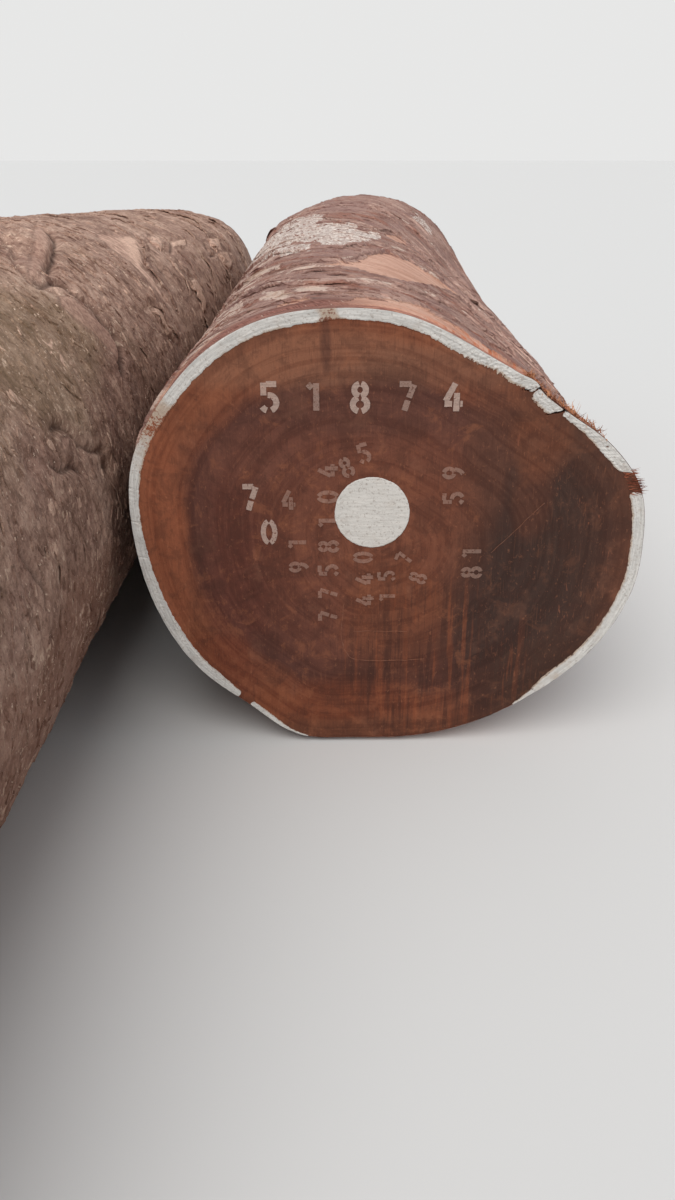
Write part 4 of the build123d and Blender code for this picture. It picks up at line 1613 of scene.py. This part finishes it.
def right_run(deg, middle):
    """Places of a loose sheet's edge on the right log, along the bark's strands."""
    s = 0.12 + 3.35 * rng.random() ** 1.25
    return s + right_lean(deg) - right_lean(np.array([middle])) + sway(0.012)


looks = ((0.02, 0.085), (0.002, 0.004), (0.0005, 0.004), (0.1, 1.0))
strips += strewn(150, (0, 165), (6, 20), right_run, looks, 0.075, 3.5)
strips = [k for k in strips if right_masks(np.radians(k[0]), MARKED_Y + k[1] + 0.3 * k[2])[0].mean() < 0.35]
# The flake that stands off the right flank, and one near the far end
strips.append((np.linspace(44, 27, 8), np.linspace(1.45, 1.72, 8), 0.05, 0.004, 0.016, 0.95))
strips.append((np.linspace(137, 147, 6), np.linspace(3.40, 3.50, 6), 0.06, 0.005, 0.020, 0.05))
sheets("right_bark_sheets", ON_RIGHT, strips, 43)

spots = []
for _ in range(1500):
    t0 = math.radians(rng.uniform(-30, 190))
    y0 = MARKED_Y + 0.12 + 3.3 * rng.random() ** 1.5
    size = rng.uniform(0.3, 1.0)
    lean = math.radians(rng.normal(0, 14)) - 0.9 * float(ramp(80, 40, math.degrees(t0)))
    spots.append((t0, y0, 0.030 * size, 0.012 * size, 0.0018, 0.004 * rng.random(), lean))
bare, _, _ = right_masks(*(np.array([k[i] for k in spots]) for i in (0, 1)))
flakes("right_bark_flakes", ON_RIGHT, [k for k, b in zip(spots, bare) if b < 0.2], 45)

# The left log's own sheets: the leaf that overhangs the step, then the pale plates
OWN_SHEETS = [
    ([60, 55, 50, 45, 39, 31, 26], [3.86, 3.74, 3.55, 3.38, 3.355, 3.365, 3.33], 0.14, 0.006, 0.012, 0.30),
    ([34, 31, 26, 19], [3.09, 3.145, 3.135, 3.175], 0.06, 0.004, 0.008, 0.4),
    ([33, 29, 25], [3.04, 3.04, 3.05], 0.050, 0.005, 0.005, 1.0),
    ([56, 52, 48.5], [3.88, 3.86, 3.83], 0.12, 0.006, 0.008, 1.0),
    ([34, 28, 21], [3.82, 3.81, 3.79], 0.10, 0.006, 0.008, 1.0),
    ([46, 42, 38], [4.93, 4.93, 4.89], 0.20, 0.007, 0.010, 1.0),
    ([37.5, 33, 28], [4.90, 4.89, 4.93], 0.25, 0.007, 0.010, 1.0),
]


def crown_run(deg, middle):
    """Places of a sheet's edge behind the knot, where the bark is rougher."""
    s = rng.uniform(3.45, 5.8) + rng.uniform(-0.004, 0.010) * (deg - middle)
    return s + 0.02 * rng.standard_normal() * np.linspace(-1, 1, 7) ** 2


def near_run(deg, middle):
    """Places of a sheet's edge in front of the knot."""
    return rng.uniform(0.9, 3.4) - 0.0018 * (deg - middle) + sway(0.008)


def flank_run(deg, middle):
    """Places of a sheet's edge on the left flank."""
    return rng.uniform(0.3, 5.7) + 0.0018 * (deg - middle) + sway(0.012)


def lies_clear(strip):
    """Whether a sheet of the left log lies on loose bark: neither smooth skin nor a fold."""
    deg, s, width = strip[:3]
    places = np.concatenate([s + b * width for b in (0.0, 0.4, 0.9)])
    _, dent, _, _, skin, _, _, _ = left_shape(np.radians(np.tile(deg, 3)), LEFT_Y + places)
    return skin.mean() < 0.25 and dent.max() < 0.005


looks = ((0.05, 0.16), (0.003, 0.006), (0.001, 0.008), (0.2, 1.0))
strips = strewn(70, (12, 85), (5, 17), crown_run, looks)
looks = ((0.012, 0.045), (0.002, 0.0035), (0.001, 0.006), (0.1, 0.8))
strips += strewn(110, (-25, 95), (4, 12), near_run, looks)
looks = ((0.03, 0.10), (0.002, 0.0045), (0.001, 0.006), (0.1, 0.9))
strips += strewn(60, (95, 200), (5, 16), flank_run, looks)
sheets("left_bark_sheets", ON_LEFT, OWN_SHEETS + [k for k in strips if lies_clear(k)], 47)

spots = []
for _ in range(2600):
    t0 = math.radians(rng.uniform(-40, 100))
    y0 = LEFT_Y + (rng.uniform(0.9, 3.3) if rng.random() < 0.75 else rng.uniform(0.1, 5.9))
    size = rng.uniform(0.25, 1.0)
    lift = 0.005 * rng.random()
    spots.append((t0, y0, 0.026 * size, 0.011 * size, 0.0016, lift, math.radians(rng.normal(8, 22))))
_, dent, _, _, skin, _, _, _ = left_shape(*(np.array([k[i] for k in spots]) for i in (0, 1)))
flakes("left_bark_flakes", ON_LEFT, [k for k, c, d in zip(spots, skin, dent) if c < 0.3 and d < 0.003], 49)


# Splinters and fibres

SLIVER_STEPS = 6
SLIVER_CORNERS = ((1, 0.35), (-0.2, 0.5), (-1, -0.3), (0.3, -0.5))


def slivers(name, roots, material):
    """Torn fibres: each is (start, direction, length, width, curl), a bent tapering spike."""
    verts, faces = [], []
    for start, way, length, width, curl in roots:
        start, way = np.array(start, float), np.array(way, float)
        way /= np.linalg.norm(way)
        up = np.cross(way, (0.1, 0.9, 0.3))
        up /= np.linalg.norm(up)
        other = np.cross(way, up)
        faces += bar(len(verts), SLIVER_STEPS)
        for t in np.linspace(0, 1, SLIVER_STEPS):
            centre = start + way * length * t + up * curl * t * t
            half = (width * (1 - t) ** 0.7 + 0.0003) / 2
            verts += [centre + up * half * a + other * half * b for a, b in SLIVER_CORNERS]
    verts = np.minimum(verts, np.array(cad_box[1]) - 0.0005)
    piece(name, verts, faces, material, {}, smooth=False)


def on_rim(t, outward, behind):
    """Point near the marked end's rim, at an angle."""
    r = float(rim(np.array([t]))[0]) + outward
    return FACE_X + r * math.cos(t), MARKED_Y + behind, FACE_Z + r * math.sin(t)


rng = random.Random(5)
roots = []
for _ in range(170):
    t = math.radians(rng.uniform(12.4, 18.4))
    start = on_rim(t, -rng.uniform(0.002, 0.03), rng.uniform(-0.001, 0.02))
    way = (0.7 + 0.5 * rng.random(), -0.35 * rng.random(), -0.35 + 0.7 * rng.random())
    sizes = rng.uniform(0.008, 0.026), rng.uniform(0.0012, 0.0045), rng.uniform(-0.004, 0.006)
    roots.append((start, way, *sizes))
roots = [k for k in roots if k[0][0] + k[2] * 1.05 < cad_box[1][0] - 0.001]
slivers("corner_splinters", roots, fibre_material("fibre_red", (104, 54, 42), (168, 98, 72)))

roots = []
for _ in range(260):
    t = math.radians(rng.uniform(27, 52))
    start = on_rim(t, 0.0005, rng.uniform(0.004, 0.06))
    way = (
        -math.sin(t) * rng.uniform(-0.6, 0.4),
        rng.choice((-1, 1)) * 0.5,
        math.cos(t) * rng.uniform(-0.4, 0.4) + 0.1,
    )
    roots.append((start, way, rng.uniform(0.012, 0.04), rng.uniform(0.001, 0.003), rng.uniform(0.0, 0.004)))
slivers("rim_fibres", roots, fibre_material("fibre_tan", (150, 96, 66), (206, 146, 104)))


# Floor and light

FLOOR_HALF, FLOOR_Z = 60, -0.001
corners = [(FLOOR_HALF * x, FLOOR_HALF * y, FLOOR_Z) for x, y in ((-1, -1), (1, -1), (1, 1), (-1, 1))]
floor_mesh = bpy.data.meshes.new("floor")
floor_mesh.from_pydata(corners, [], [(0, 1, 2, 3)])
floor = bpy.data.objects.new("floor", floor_mesh)
bpy.context.scene.collection.objects.link(floor)
pale_floor = Shade("floor_pale", 0.9, 0.2)
pale_floor.put(pale_floor.main["Base Color"], srgb(212, 211, 209))
floor_mesh.materials.append(pale_floor.material)
floor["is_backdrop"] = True

world = bpy.data.worlds.new("studio")
bpy.context.scene.world = world
world.use_nodes = True
nodes, links = world.node_tree.nodes, world.node_tree.links
soft = nodes["Background"]
soft.inputs["Color"].default_value = (0.90, 0.93, 0.97, 1)
soft.inputs["Strength"].default_value = 0.72
plain = nodes.new("ShaderNodeBackground")
plain.inputs["Color"].default_value = (0.80, 0.80, 0.795, 1)
plain.inputs["Strength"].default_value = 1.0
path = nodes.new("ShaderNodeLightPath")
seen = path.outputs["Is Camera Ray"]
for other in ("Is Glossy Ray", "Is Transmission Ray"):
    either = nodes.new("ShaderNodeMath")
    either.operation = "MAXIMUM"
    links.new(seen, either.inputs[0])
    links.new(path.outputs[other], either.inputs[1])
    seen = either.outputs[0]
blend = nodes.new("ShaderNodeMixShader")
for socket, source in zip(blend.inputs, (seen, soft.outputs[0], plain.outputs[0])):
    links.new(source, socket)
links.new(blend.outputs[0], nodes["World Output"].inputs["Surface"])

sun = bpy.data.lights.new("sky", "SUN")
sun.energy = 2.0
sun.angle = math.radians(50)
sun.color = (1.0, 0.985, 0.965)
sky = bpy.data.objects.new("sky", sun)
sky.rotation_euler = (math.radians(36), math.radians(-14), 0)
bpy.context.scene.collection.objects.link(sky)
bpy.context.scene.view_settings.view_transform = "Standard"

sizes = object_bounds()
